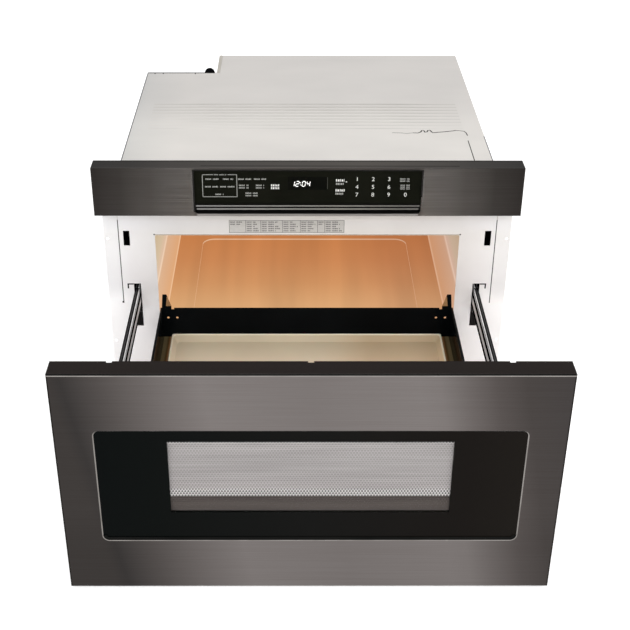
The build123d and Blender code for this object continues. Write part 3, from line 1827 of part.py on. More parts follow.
# Latch hooks: arms with a tooth below their tip and a foot on the inner frame.
hook_tip_y = drawer_back_y + hook_length
hook_arm_share = 0.7
hook_tooth = 10
hook_bevel = 4
hook_foot_width = 16
hook_foot_sheet = 2
with BuildPart() as latch_hook:
    half_height = hook_height / 2
    arm_low = latch_z + half_height - hook_arm_share * hook_height
    with BuildSketch(sideways(latch_x - hook_width / 2)):
        with BuildLine():
            Polyline(
                (frame_back_y, latch_z + half_height),
                (hook_tip_y - hook_bevel / 2, latch_z + half_height),
                (hook_tip_y, latch_z + half_height - hook_bevel / 2),
                (hook_tip_y, latch_z - half_height + hook_bevel / 2),
                (hook_tip_y - hook_bevel, latch_z - half_height),
                (hook_tip_y - hook_tooth, latch_z - half_height),
                (hook_tip_y - hook_tooth, arm_low),
                (frame_back_y, arm_low),
                close=True,
            )
        make_face()
    extrude(amount=hook_width)
    block(
        (latch_x - hook_foot_width / 2, latch_x + hook_foot_width / 2),
        (frame_back_y, frame_back_y + hook_foot_sheet),
        (latch_z - half_height, latch_z + half_height),
    )
latch_hooks = with_mirror_image(latch_hook.part)
latch_hooks.label = "latch_hooks"
export_step(latch_hooks, "parts/latch_hooks.step")

# ---------------------------------------------------------------- basket

basket_half = basket_width / 2
basket_inner = basket_half - basket_wall
wall_edge = 0.8

# Side walls: folded sheet with a rounded upper edge.
with BuildPart() as basket_side_wall:
    block(
        (basket_inner, basket_half),
        (drawer_back_y, basket_rear_y),
        (basket_bottom, basket_top),
    )
    fillet(basket_side_wall.edges().filter_by(Axis.Y).group_by(Axis.Z)[-1], wall_edge)
basket_side_walls = with_mirror_image(basket_side_wall.part)
basket_side_walls.label = "basket_side_walls"
export_step(basket_side_walls, "parts/basket_side_walls.step")

ear_base = basket_half - ear_lean
ear_inner = ear_base - ear_foot
ear_tip_outer = ear_base - ear_lean
half_outline = [
    (basket_half, basket_bottom),
    (basket_half, basket_top),
    (ear_base, basket_top),
    (ear_tip_outer, basket_top + ear_height),
    (ear_tip_outer - ear_tip, basket_top + ear_height),
    (ear_inner, basket_top + ear_step),
    (ear_inner, basket_top - rear_notch_depth),
    (ear_inner - rear_notch_width, basket_top - rear_notch_depth),
    (ear_inner - rear_notch_width, basket_top),
]

# Rear wall, with an ear at each end, a notch beside each ear and two pairs of holes.
with BuildPart() as basket_rear_wall:
    with BuildSketch(upright(basket_rear_y)):
        with BuildLine():
            Polyline(*half_outline, *[(-x, z) for x, z in reversed(half_outline)], close=True)
        make_face()
        for side in (-1, 1):
            hole_x = basket_half - rear_hole_inset
            for x in (hole_x, hole_x - rear_hole_spacing):
                with Locations((side * x, basket_top - rear_hole_drop)):
                    Circle(rear_hole_radius, mode=Mode.SUBTRACT)
    extrude(amount=-rear_wall_sheet)
basket_rear_wall.part.label = "basket_rear_wall"
export_step(basket_rear_wall.part, "parts/basket_rear_wall.step")

# Floor pan: a stepped sheet whose ledge runs round the tray's front and sides.
tray_half = tray_width / 2
tray_front_y = drawer_back_y + tray_front_gap
well_half = tray_half + tray_clearance
well_front_y = tray_front_y - tray_clearance
with BuildPart() as floor_pan:
    block(
        (-basket_inner, basket_inner),
        (drawer_back_y, basket_rear_y),
        (ledge_top - floor_sheet, ledge_top),
    )
    block(
        (-well_half - floor_sheet, well_half + floor_sheet),
        (well_front_y - floor_sheet, basket_rear_y),
        (floor_height, ledge_top),
    )
    block(
        (-well_half, well_half),
        (well_front_y, basket_rear_y),
        (floor_height + floor_sheet, ledge_top),
        Mode.SUBTRACT,
    )
floor_pan.part.label = "floor_pan"
export_step(floor_pan.part, "parts/floor_pan.step")

# Tray: a flat plate of glass ceramic with a raised rim that slopes down to its floor.
tray_corner = 3
tray_inner_corner = 5
tray_depth = basket_rear_y - tray_front_y
tray_middle_y = (basket_rear_y + tray_front_y) / 2
tray_low = floor_height + floor_sheet
with BuildPart() as glass_tray:
    with BuildSketch(Plane.XY.offset(tray_low)):
        with Locations((0, tray_middle_y)):
            RectangleRounded(tray_width, tray_depth, tray_corner)
    extrude(amount=tray_height)
    for height, inset in (
        (tray_low + tray_floor, tray_rim + tray_slope),
        (tray_low + tray_height, tray_rim),
    ):
        with BuildSketch(Plane.XY.offset(height)):
            with Locations((0, tray_middle_y)):
                RectangleRounded(
                    tray_width - 2 * inset,
                    tray_depth - 2 * inset,
                    tray_inner_corner,
                )
    loft(mode=Mode.SUBTRACT)
glass_tray.part.label = "glass_tray"
export_step(glass_tray.part, "parts/glass_tray.step")
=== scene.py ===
import math

import bpy
from mathutils import Matrix, Vector


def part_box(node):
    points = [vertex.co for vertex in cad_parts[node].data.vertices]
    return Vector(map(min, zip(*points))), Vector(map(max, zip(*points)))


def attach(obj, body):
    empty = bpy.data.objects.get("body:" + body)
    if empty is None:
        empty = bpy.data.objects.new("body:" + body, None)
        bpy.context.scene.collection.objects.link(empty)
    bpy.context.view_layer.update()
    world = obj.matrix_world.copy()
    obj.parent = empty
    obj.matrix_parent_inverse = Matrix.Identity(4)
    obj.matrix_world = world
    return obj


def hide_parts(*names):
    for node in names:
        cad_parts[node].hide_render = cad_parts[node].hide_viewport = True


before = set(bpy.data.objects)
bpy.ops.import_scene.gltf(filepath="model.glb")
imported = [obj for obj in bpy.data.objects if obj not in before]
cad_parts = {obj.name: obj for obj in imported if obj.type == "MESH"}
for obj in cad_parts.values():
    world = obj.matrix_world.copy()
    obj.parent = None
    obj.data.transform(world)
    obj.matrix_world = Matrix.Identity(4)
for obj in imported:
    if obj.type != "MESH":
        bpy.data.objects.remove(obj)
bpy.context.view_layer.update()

MM = 0.001

# ---------------------------------------------------------------- studio
# A white paper sweep under soft lamps. The paper shows pure white to the eye, to gloss and
# through glass, while the lamps themselves stay at a plain level and leave a soft shadow.

paper_half_width = 9000
paper_drop = 0.6
sky_light = 0.7
paper_lift = 0.44
pure_white = (1, 1, 1, 1)


def linear(colour):
    """An sRGB hex colour as the linear value that a shader takes."""
    parts = [int(colour[at : at + 2], 16) / 255 for at in (1, 3, 5)]
    return [p / 12.92 if p <= 0.04045 else ((p + 0.055) / 1.055) ** 2.4 for p in parts] + [1]


def add(tree, kind, settings=None, sockets=None):
    """Adds a node with its own settings, and its inputs' values or the outputs they come from."""
    made = tree.nodes.new("ShaderNode" + kind)
    for name, value in (settings or {}).items():
        setattr(made, name, value)
    for name, value in (sockets or {}).items():
        if isinstance(value, bpy.types.NodeSocket):
            tree.links.new(value, made.inputs[name])
        else:
            made.inputs[name].default_value = value
    return made


def ray_kinds(tree):
    """Whether a ray comes straight to the eye, and whether it comes by way of gloss or glass."""
    rays = add(tree, "LightPath").outputs
    mirrored = add(tree, "Math", {"operation": "MAXIMUM"}, {
        0: rays["Is Glossy Ray"], 1: rays["Is Transmission Ray"]})
    return rays["Is Camera Ray"], mirrored.outputs[0]


studio = bpy.data.worlds.new("studio")
bpy.context.scene.world = studio
studio.use_nodes = True
tree = studio.node_tree
tree.nodes.clear()
straight, mirrored = ray_kinds(tree)
direct = add(tree, "Math", {"operation": "MAXIMUM"}, {0: straight, 1: mirrored})
sky = add(tree, "Background", None, {"Color": pure_white, "Strength": sky_light})
white = add(tree, "Background", None, {"Color": pure_white, "Strength": 1.0})
seen = add(tree, "MixShader", None, {0: direct.outputs[0], 1: sky.outputs[0], 2: white.outputs[0]})
add(tree, "OutputWorld", None, {"Surface": seen.outputs[0]})

# The sweep is matt paper; it is lifted a little to the eye, so that it shows no horizon.
paper = bpy.data.materials.new("paper_sweep_white")
paper.use_nodes = True
tree = paper.node_tree
tree.nodes.clear()
straight, mirrored = ray_kinds(tree)
lift = add(tree, "Math", {"operation": "MULTIPLY"}, {0: straight, 1: paper_lift})
matt = add(tree, "BsdfDiffuse", None, {"Color": linear("#ececec")})
glow = add(tree, "Emission", None, {"Color": pure_white, "Strength": lift.outputs[0]})
lit = add(tree, "AddShader", None, {0: matt.outputs[0], 1: glow.outputs[0]})
plain = add(tree, "Emission", None, {"Color": pure_white, "Strength": 1.0})
both = add(tree, "MixShader", None, {0: mirrored, 1: lit.outputs[0], 2: plain.outputs[0]})
add(tree, "OutputMaterial", None, {"Surface": both.outputs[0]})

sheet = bpy.data.meshes.new("paper_sweep")
half = paper_half_width * MM
low = -paper_drop * MM
sheet.from_pydata([(-half, -half, low), (half, -half, low), (half, half, low), (-half, half, low)],
                  [], [(0, 1, 2, 3)])
sheet.materials.append(paper)
floor = bpy.data.objects.new("paper_sweep", sheet)
bpy.context.scene.collection.objects.link(floor)


def lamp(name, place, aim, size, power):
    """A square soft lamp that faces a point; places in millimetres, power in watts."""
    light = bpy.data.lights.new(name, "AREA")
    light.shape = "SQUARE"
    light.size = size * MM
    light.energy = power
    holder = bpy.data.objects.new(name, light)
    bpy.context.scene.collection.objects.link(holder)
    holder.location = Vector(place) * MM
    holder.visible_glossy = False
    holder.rotation_euler = (Vector(aim) - Vector(place)).to_track_quat("-Z", "Y").to_euler()


lamp("soft_lamp_left", (-1900, -2300, 2700), (0, -200, 150), 1800, 24)
lamp("soft_lamp_right", (2200, -1900, 2300), (0, -200, 150), 1800, 18)
lamp("soft_lamp_front", (200, -3300, 1500), (0, -280, 200), 2000, 46)
lamp("soft_lamp_behind", (300, 2300, 2600), (0, 0, 250), 1600, 16)

# The camera stands 1.85 m before the cabinet's middle and 1.08 m up, and looks down steeply.
camera_place = (-22.0, -1852.8, 1079.8)
camera_pitch = 30.54
camera_yaw = 0.21
camera_roll = 0.11
picture_side = 630
focal_pixels = 1203.6
centre_x = 295.95
centre_y = 314.39
camera = bpy.data.cameras.new("camera")
camera.sensor_width = 36
camera.lens = camera.sensor_width * focal_pixels / picture_side
camera.shift_x = 0.5 - centre_x / picture_side
camera.shift_y = centre_y / picture_side - 0.5
camera.clip_end = 60
viewer = bpy.data.objects.new("camera", camera)
bpy.context.scene.collection.objects.link(viewer)
viewer.matrix_world = (
    Matrix.Translation(Vector(camera_place) * MM)
    @ Matrix.Rotation(math.radians(-camera_yaw), 4, "Z")
    @ Matrix.Rotation(math.radians(90 - camera_pitch), 4, "X")
    @ Matrix.Rotation(math.radians(camera_roll), 4, "Z")
)
bpy.context.scene.camera = viewer
bpy.context.scene.view_settings.view_transform = "Standard"

# ---------------------------------------------------------------- outer case
# The case is folded from thin sheet that is painted light grey at the mill, and it is screwed
# to the base pan. The recess panel closes its cut-out; base and rear panel are zinc-dipped.


def finish(name, dark, light, grain, rough, metallic=0.0, relief=0.0, detail=3.0, **constants):
    """A surface whose colour and roughness wander over a grain, given in millimetres per axis."""
    material = bpy.data.materials.new(name)
    material.use_nodes = True
    tree = material.node_tree
    shader = tree.nodes["Principled BSDF"]
    faintest, strongest = 0.3, 0.7
    place = add(tree, "TexCoord")
    scaled = add(tree, "Mapping", None, {
        "Vector": place.outputs["Object"], "Scale": [1 / (size * MM) for size in grain]})
    noise = add(tree, "TexNoise", None, {
        "Vector": scaled.outputs[0], "Scale": 1.0, "Detail": detail})
    share = add(tree, "MapRange", None, {
        "Value": noise.outputs[0], "From Min": faintest, "From Max": strongest})
    colour = add(tree, "Mix", {"data_type": "RGBA"}, {
        0: share.outputs[0], 6: linear(dark), 7: linear(light)})
    tree.links.new(colour.outputs[2], shader.inputs["Base Color"])
    gloss = add(tree, "MapRange", None, {
        "Value": share.outputs[0], "To Min": rough[0], "To Max": rough[1]})
    tree.links.new(gloss.outputs[0], shader.inputs["Roughness"])
    shader.inputs["Metallic"].default_value = metallic
    if relief:
        bump = add(tree, "Bump", None, {"Height": noise.outputs[0], "Distance": relief * MM})
        tree.links.new(bump.outputs[0], shader.inputs["Normal"])
    for socket, value in constants.items():
        shader.inputs[socket.replace("_", " ")].default_value = value
    return material


def colour_ramp(tree, position, stops):
    """A colour that changes with a coordinate in metres; stops are (mm, colour)."""
    first, last = stops[0][0], stops[-1][0]
    share = add(tree, "MapRange", None, {
        "Value": position, "From Min": first * MM, "From Max": last * MM})
    ramp = add(tree, "ValToRGB", None, {0: share.outputs[0]})
    marks = ramp.color_ramp.elements
    marks[0].color = linear(stops[0][1])
    marks[1].color = linear(stops[-1][1])
    for at, colour in stops[1:-1]:
        marks.new((at - first) / (last - first)).color = linear(colour)
    return ramp.outputs[0]


def looks_up(tree):
    """1 on the faces that look up, 0 on the others."""
    shape = add(tree, "NewGeometry")
    facing = add(tree, "SeparateXYZ", None, {0: shape.outputs["Normal"]})
    upward = add(tree, "Math", {"operation": "GREATER_THAN"}, {0: facing.outputs["Z"], 1: 0.5})
    return upward.outputs[0]


def opened(material):
    """A material's tree, its shader, the shader's present colour and the place on the object."""
    tree = material.node_tree
    shader = tree.nodes["Principled BSDF"]
    colour = shader.inputs["Base Color"].links[0].from_socket
    return tree, shader, colour, add(tree, "TexCoord").outputs["Object"]


def shade_along(material, axis, stops, mirrored=False, top=None, lean=0.0):
    """Multiplies a surface's colour by one that changes along an axis; stops are (mm, colour).

    Faces that look up can take other stops: top is (axis, stops, mirrored). With a lean the
    stops are true at height 0 and move by -lean for each millimetre of height.
    """
    tree, shader, under, place = opened(material)
    parts = add(tree, "SeparateXYZ", None, {0: place}).outputs

    def tone(axis, stops, mirrored):
        along = parts[axis]
        if lean:
            along = add(tree, "Math", {"operation": "MULTIPLY_ADD"}, {
                0: parts["Z"], 1: lean, 2: along}).outputs[0]
        if mirrored:
            along = add(tree, "Math", {"operation": "ABSOLUTE"}, {0: along}).outputs[0]
        return colour_ramp(tree, along, stops)

    shade = tone(axis, stops, mirrored)
    if top:
        shade = add(tree, "Mix", {"data_type": "RGBA"}, {
            0: looks_up(tree), 6: shade, 7: tone(*top)}).outputs[2]
    both = add(tree, "Mix", {"data_type": "RGBA", "blend_type": "MULTIPLY"}, {
        0: 1.0, 6: under, 7: shade})
    tree.links.new(both.outputs[2], shader.inputs["Base Color"])
    return material


def dress(material, *nodes):
    """Puts a material on carried-over nodes."""
    for name in nodes:
        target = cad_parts[name]
        if not target.material_slots:
            target.data.materials.append(material)
        for slot in target.material_slots:
            slot.material = material


# Coil-coated steel, rolled smooth: pale warm grey with a soft sheen and a faint ripple.
# Its colour is painted light and shade: lighter towards the front of the top, darker to the back,
# and a little darker and cooler along the left edge.
coated_steel = shade_along(shade_along(finish(
    "coil_coated_steel_rolled", "#f5f5f5", "#ffffff", (160, 90, 160), (0.42, 0.5),
    relief=0.05, Specular_IOR_Level=0.3),
    "Y", [(-280, "#dbd7d2"), (-70, "#d9d5d0"), (40, "#cdc9c5"), (280, "#cbc7c3")]),
    "X", [(-276, "#eff2f4"), (-262, "#f4f6f7"), (-200, "#ffffff"), (276, "#ffffff")])
dress(coated_steel, "outer_wrap", "recess_panel")

# Zinc-dipped sheet: cool grey with the flaky crystals that the zinc leaves, about 9 mm wide.
crystal_width = 9
zinc_sheet = finish(
    "galvanised_steel_hot_dipped", "#8d9194", "#b4b8ba", (30, 30, 30), (0.34, 0.5), metallic=1.0)
tree, shader, _, place = opened(zinc_sheet)
crystals = add(tree, "TexVoronoi", None, {"Vector": place, "Scale": 1 / (crystal_width * MM)})
grey = add(tree, "RGBToBW", None, {"Color": crystals.outputs["Color"]})
tone = add(tree, "Mix", {"data_type": "RGBA"}, {
    0: grey.outputs[0], 6: linear("#888c90"), 7: linear("#bcc0c2")})
tree.links.new(tone.outputs[2], shader.inputs["Base Color"])
dress(zinc_sheet, "base_pan", "rear_panel", "slide_mounts", "waveguide")

# ---------------------------------------------------------------- stiffening ribs
# Nine shallow ribs are pressed up out of the case top, so that the wide sheet does not drum.
# They are highest at the back, and each sinks back into the sheet at both ends.

case_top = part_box("outer_wrap")[1].z / MM
case_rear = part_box("rear_panel")[1].y / MM
rib_pitch = 13.2
rib_width = 5.5
first_rib_y = -74.5
first_rib_height = 0.35
rib_growth = 0.055
rib_count = 9
rib_middle = -1
rib_half_length = 248
rib_level_half = 150
rib_steps = 10


def rib(middle_y, height):
    """A low rounded rib along X that rises out of the sheet and sinks into it again."""
    points, faces = [], []
    across = 6
    for step in range(2 * rib_steps + 1):
        reach = step / rib_steps - 1
        x = rib_middle + rib_half_length * reach
        fall = max(0.0, (abs(reach) * rib_half_length - rib_level_half)
                   / (rib_half_length - rib_level_half))
        for turn in range(across + 1):
            angle = math.pi * turn / across
            points.append((x, middle_y + rib_width / 2 * math.cos(angle),
                           case_top + height * (1 - fall) ** 1.5 * math.sin(angle)))
    for step in range(2 * rib_steps):
        for turn in range(across):
            corner = step * (across + 1) + turn
            faces.append((corner, corner + across + 1, corner + across + 2, corner + 1))
    return points, faces


def merged(parts):
    """Several (points, faces) pairs as one."""
    points, faces = [], []
    for some_points, some_faces in parts:
        start = len(points)
        points += some_points
        faces += [tuple(at + start for at in face) for face in some_faces]
    return points, faces


def piece(name, shape, material, body, soft_edge=0.0, smooth=False):
    """A new piece from (points, faces) in millimetres of the row frame, riding on a body."""
    points, faces = shape
    mesh = bpy.data.meshes.new(name)
    mesh.from_pydata([Vector(point) * MM for point in points], [], faces)
    mesh.materials.append(material)
    mesh.polygons.foreach_set("use_smooth", [smooth] * len(faces))
    mesh.update()
    made = bpy.data.objects.new(name, mesh)
    bpy.context.scene.collection.objects.link(made)
    if soft_edge:
        rounding = made.modifiers.new("rounding", "BEVEL")
        rounding.width = soft_edge * MM
        rounding.segments = 2
        rounding.limit_method = "ANGLE"
    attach(made, body)
    return made


# The ribs' shade is painted into their colour: darker towards the back, where they stand higher,
# and darker in their middle than at their ends, where they sink into the sheet.
rib_steel = shade_along(shade_along(finish(
    "coil_coated_steel_embossed", "#eeeeee", "#ffffff", (120, 40, 160), (0.42, 0.5),
    relief=0.05, Specular_IOR_Level=0.3),
    "Y", [(-76, "#dbd7d2"), (-40, "#d4d0cb"), (0, "#c7c3be"), (40, "#c3bfba")]),
    "X", [(-250, "#ffffff"), (-120, "#fcfcfc"), (0, "#f7f7f7"), (190, "#f4f4f4"), (248, "#ffffff")])
ribs = [rib(first_rib_y + rib_pitch * at, first_rib_height + rib_growth * at)
        for at in range(rib_count)]
piece("top_ribs", merged(ribs), rib_steel, "cabinet", smooth=True)

# ---------------------------------------------------------------- recess flange
# The recess panel's top edge is folded over the cut-out and spot-welded down, so a narrow flange
# shows along it, in a darker grey than the case top.


def prism(outline, low, high, axis=2):
    """An outline pushed along an axis; its two coordinates are the other axes in order."""
    count = len(outline)
    points = []
    for level in (low, high):
        for a, b in outline:
            point = [a, b]
            point.insert(axis, level)
            points.append(tuple(point))
    faces = [tuple(range(count))[::-1], tuple(range(count, 2 * count))]
    for at in range(count):
        after = (at + 1) % count
        faces.append((at, after, after + count, at + count))
    if axis == 1:
        faces = [face[::-1] for face in faces]
    return points, faces


flange_darker_grey = finish(
    "recess_flange_darker_grey", "#a7a299", "#b7b2a9", (20, 20, 20), (0.4, 0.5),
    Specular_IOR_Level=0.3)
recess_x, recess_y = -154, 188
flange_rise = 0.7
flange_outline = [
    (recess_x - 0.4, recess_y - 2), (recess_x + 4.6, recess_y - 2), (recess_x + 5.2, recess_y + 40),
    (recess_x + 5.6, case_rear - 4), (recess_x + 3.6, case_rear - 0.6),
    (recess_x + 1.4, case_rear - 0.6), (recess_x - 0.4, case_rear - 4)]
piece("recess_flange", prism(flange_outline, case_top, case_top + flange_rise), flange_darker_grey,
      "cabinet", soft_edge=0.25)

# ---------------------------------------------------------------- seams of the case top
# The top sheet is cut near its right front corner, where a tab is bent down to the inner plate with
# a ragged edge, and it is slotted beside the recess. Black strips paint the shadow in the open cuts
# and slots and along the edge beside the recess.

cut_rise = 0.06
# Painted shadow: the black that fills open cuts and gaps.
gap_shadow_black = finish("open_seam_shadow", "#1f1e1d", "#2c2b2a", (4, 4, 4), (0.8, 0.9),
                   Specular_IOR_Level=0.02)


def ribbon(path, width, base, rise):
    """A thin strip along a path of (x, y) points, lying on a level surface."""
    left, right = [], []
    for at, (x, y) in enumerate(path):
        before, after = path[max(at - 1, 0)], path[min(at + 1, len(path) - 1)]
        along = Vector((after[0] - before[0], after[1] - before[1])).normalized()
        left.append((x - along.y * width / 2, y + along.x * width / 2))
        right.append((x + along.y * width / 2, y - along.x * width / 2))
    outline = right + left[::-1]
    count = len(path)
    points = [(x, y, base) for x, y in outline] + [(x, y, base + rise) for x, y in outline]
    faces = []
    for at in range(count - 1):
        mirror = 2 * count - 1 - at
        faces.append((at + 2 * count, at + 1 + 2 * count,
                      mirror - 1 + 2 * count, mirror + 2 * count))
        faces.append((mirror, mirror - 1, at + 1, at))
    for at in range(2 * count):
        after = (at + 1) % (2 * count)
        faces.append((at, after, after + 2 * count, at + 2 * count))
    return points, faces


def slab(x_span, y_span, z_span):
    """A box between two corners."""
    (x0, x1), (y0, y1) = x_span, y_span
    return prism([(x0, y0), (x1, y0), (x1, y1), (x0, y1)], *z_span)


# Each cut is its width and its course: down the side, round the corner, along the tab, its
# faint end, and the edge beside the recess.
cut_courses = [
    (1.3, [(248.3, -279), (248.4, -198), (248.5, -124)]),
    (1.5, [(250.1, -103.6), (249.4, -92), (247, -86), (242.7, -84.2), (235.2, -82.4)]),
    (2.1, [(235.2, -82.4), (225, -85.7), (214.9, -88.4), (205, -90.1), (197.4, -92.2),
           (195.9, -88.4), (194, -81.4), (190.9, -82), (188.6, -88.6), (185.6, -90.6),
           (184.2, -82.6), (181.2, -82.2), (178.9, -89), (174.5, -93), (166.7, -92.4)]),
    (1.0, [(166.7, -92.4), (156.7, -95.1), (147.1, -92.6), (134, -92.2)]),
    (4, [(-275.5, recess_y - 2), (-158, recess_y - 2)])]
cuts = [ribbon(course, width, case_top, cut_rise) for width, course in cut_courses]
slot_width = 1.6
for slot_x in (-263.4, -249, -192.8):
    cuts.append(slab((slot_x, slot_x + slot_width), (recess_y - 8, recess_y - 1),
                     (case_top, case_top + cut_rise)))
piece("top_seam_shadows", merged(cuts), gap_shadow_black, "cabinet")

# Painted shade: grey lines along the folded side edges, where the sheet rounds away from the light,
# and a thin one across the top near its front.
edge_shadow = finish("folded_edge_shadow", "#5e5e61", "#6b6b6e", (6, 6, 6), (0.6, 0.7),
                     Specular_IOR_Level=0.05)
edge_courses = [
    (1.5, [(-275.3, -279), (-275.3, recess_y - 4)]),
    (1.3, [(275.4, -279), (275.4, -106)]),
    (0.5, [(-262, -268), (260, -268)])]
edges = [ribbon(course, width, case_top, cut_rise) for width, course in edge_courses]
piece("top_edge_shadows", merged(edges), edge_shadow, "cabinet")

# ---------------------------------------------------------------- rear panel screws
# Six screws hold the rear panel: zinc-plated steel with a pan head, which is cold-headed and
# its cross punched. The plating gives them a cool, even shine. They replace plain cylinders.

screw_steel = finish(
    "zinc_plated_steel_headed", "#9ea1a4", "#c6c9cb", (1.5, 1.5, 1.5), (0.22, 0.34), metallic=1.0)


def turned(profile, centre, axis, steps=32):
    """A turned shape: profile of (radius, distance along the axis), first and last on the axis."""
    u = Vector((0, 0, 1)) if abs(axis[2]) < 0.5 else Vector((1, 0, 0))
    v = Vector(axis).cross(u)
    points, faces = [], []
    inner = profile[1:-1]
    for radius, along in inner:
        for step in range(steps):
            angle = 2 * math.pi * step / steps
            point = (Vector(centre) + Vector(axis) * along
                     + (u * math.cos(angle) + v * math.sin(angle)) * radius)
            points.append(tuple(point))
    for ring in range(len(inner) - 1):
        for step in range(steps):
            after = (step + 1) % steps
            faces.append((ring * steps + step, ring * steps + after,
                          (ring + 1) * steps + after, (ring + 1) * steps + step))
    points.append(tuple(Vector(centre) + Vector(axis) * profile[0][1]))
    points.append(tuple(Vector(centre) + Vector(axis) * profile[-1][1]))
    last = (len(inner) - 1) * steps
    for step in range(steps):
        after = (step + 1) % steps
        faces.append((after, step, len(points) - 2))
        faces.append((last + step, last + after, len(points) - 1))
    return points, faces


def pan_head_screws(places, axis, head_radius, head_height, shank_radius, reach):
    """Pan-head screws with a punched recess, their heads standing along the axis."""
    rim, flat = 0.35, 0.42
    profile = [(0, -reach), (shank_radius * 0.4, -reach), (shank_radius, -reach + 1.2),
               (shank_radius, 0), (head_radius, 0), (head_radius, head_height * rim)]
    for step in range(1, 5):
        angle = math.pi / 2 * step / 5
        profile.append((head_radius * (flat + (1 - flat) * math.cos(angle)),
                        head_height * (rim + (1 - rim) * math.sin(angle))))
    recess = head_radius * flat
    profile += [(recess, head_height), (recess * 0.55, head_height * 0.45),
                (0, head_height * 0.4)]
    return merged([turned(profile, place, axis) for place in places])


rear_screw_places = [(x, case_rear, z) for x in (-145, 267) for z in (30, 185, 340)]
rear_screws = piece(
    "rear_panel_screws",
    pan_head_screws(rear_screw_places, (0, 1, 0), head_radius=4, head_height=2,
                    shank_radius=1.9, reach=6),
    screw_steel, "cabinet", smooth=True)
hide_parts("rear_screws")

# ---------------------------------------------------------------- cord gland
# A strain relief of moulded black nylon, clipped into the recess's wall where the mains lead
# goes in: a smooth dull dome with a faint grain from its mould.

nylon_black = finish(
    "nylon_black_moulded", "#08080a", "#101113", (3, 3, 3), (0.4, 0.5), relief=0.03,
    Specular_IOR_Level=0.0)
dress(nylon_black, "cord_gland")

# ---------------------------------------------------------------- face plate
# One steel sheet across the front of the case, stove-enamelled white, with the mouth cut out
# of it and side flanges that screw to the cupboard.

# Stove enamel: clean warm white and satin, with the soft waves of a sprayed coat, 60 mm long.
# Its colour is painted light and shade: along X darker about 225 mm out to each side and a little
# in the middle, lighter at both ends; along Z a darker band from about 206 to 288 mm, lighter below
# 162 mm and above 318 mm.
white_enamel = shade_along(shade_along(finish(
    "stove_enamel_sprayed", "#f8f7f6", "#ffffff", (60, 60, 60), (0.38, 0.46),
    relief=0.03, Specular_IOR_Level=0.4, Emission_Color=linear("#fff6f6")),
    "X", [(-300, "#ffffff"), (-262, "#f8f6f6"), (-225, "#f0eeed"), (0, "#f5f2ee"),
          (225, "#f0ece9"), (262, "#f7f3f1"), (300, "#faf8f6")]),
    "Z", [(0, "#ffffff"), (162, "#ffffff"), (206, "#eeedee"), (288, "#eeeeee"), (305, "#f3f4f6"),
          (318, "#fbfbfc"), (372, "#ffffff")])

# Below the slides a faint painted glow stands for the light that the basket throws back: strongest
# below 150 mm and weaker above 200 mm.
bounce_fades = (150, 200)
bounce_strength = (0.2, 0.04)
tree, shader, _, place = opened(white_enamel)
parts = add(tree, "SeparateXYZ", None, {0: place}).outputs
bounce = add(tree, "MapRange", {"interpolation_type": "SMOOTHSTEP"}, {
    "Value": parts["Z"], "From Min": bounce_fades[0] * MM, "From Max": bounce_fades[1] * MM,
    "To Min": bounce_strength[0], "To Max": bounce_strength[1]})
tree.links.new(bounce.outputs[0], shader.inputs["Emission Strength"])
dress(white_enamel, "face_plate")

# ---------------------------------------------------------------- slit shadows
# Black strips laid on the plate paint the shadow in the slits beside the flanges and round the
# tongues of the slide slots: dead black. The left flange's ends in a small hook.

slit_shadow = finish("slit_shadow_black", "#171616", "#262423", (2, 2, 2), (0.8, 0.9),
                   Specular_IOR_Level=0.02)
plate_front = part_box("face_plate")[0].y / MM
strip_rise = 0.05
slit_low, slit_high = 172.2, 310.7
slot_top = 205.6
hook = slab((-277.6, -275), (plate_front - strip_rise, plate_front), (slit_low, slit_low + 3.2))
strips = [  # distance from the middle, from and to, then height, from and to
    ((274.9, 276.1), (slit_low, slit_high)),
    ((266, 268.1), (slot_top - 8.6, slot_top)),
    ((258.9, 266), (slot_top - 2, slot_top))]
shadow_strips = [hook]
for side in (-1, 1):
    for (inner_x, outer_x), z_span in strips:
        shadow_strips.append(slab(sorted((side * inner_x, side * outer_x)),
                          (plate_front - strip_rise, plate_front + 1), z_span))
piece("slit_shadow_strips", merged(shadow_strips), slit_shadow, "cabinet")

# ---------------------------------------------------------------- mouth edge
# The sheet's cut edge over the mouth stands in the shadow of the cavity's ceiling: a thin brown
# line of painted shade. At both its ends black patches paint the shadow in the notches for the
# bend.

cut_edge = finish("steel_cut_edge_in_shadow", "#8f7f68", "#a39177", (9, 9, 9), (0.5, 0.6))
nick_rise = strip_rise + 0.02
nick_half = 1
mouth_low, mouth_high = [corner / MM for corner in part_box("oven_cavity")]
mouth_edge = slab((mouth_low.x + 1, mouth_high.x - 1), (plate_front - strip_rise, plate_front + 1),
                  (mouth_high.z - 0.7, mouth_high.z + 0.3))
piece("mouth_cut_edge", mouth_edge, cut_edge, "cabinet")
corner_nicks = [
    slab((x - nick_half, x + nick_half), (plate_front - nick_rise, plate_front),
         (mouth_high.z - 0.8, mouth_high.z + 1.2)) for x in (mouth_low.x, mouth_high.x)]
piece("mouth_corner_nick_shadows", merged(corner_nicks), slit_shadow, "cabinet")

# ---------------------------------------------------------------- setting chart
# A printed label of coated paper, stuck on the plate above the mouth: matt light grey with
# ruled columns. Its grey ink shows as rows of strokes that say nothing.

label_paper = finish("paper_label_printed", "#c8c6c3", "#d0cecb", (5, 5, 5), (0.5, 0.6))
dress(label_paper, "setting_chart")
label_ink = finish("label_ink_grey", "#4c4a49", "#5a5857", (3, 3, 3), (0.6, 0.7))
label_low, label_high = [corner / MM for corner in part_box("setting_chart")]
label_front = label_low.y
ink_rise = 0.05
line_width = 0.55
text_height = 1.9
line_pitch = 3.5
first_line_drop = 3


def printed(x_span, z_span, front, rise):
    """A printed patch on an upright face: as thick as its ink."""
    return slab(x_span, (front - rise, front), z_span)


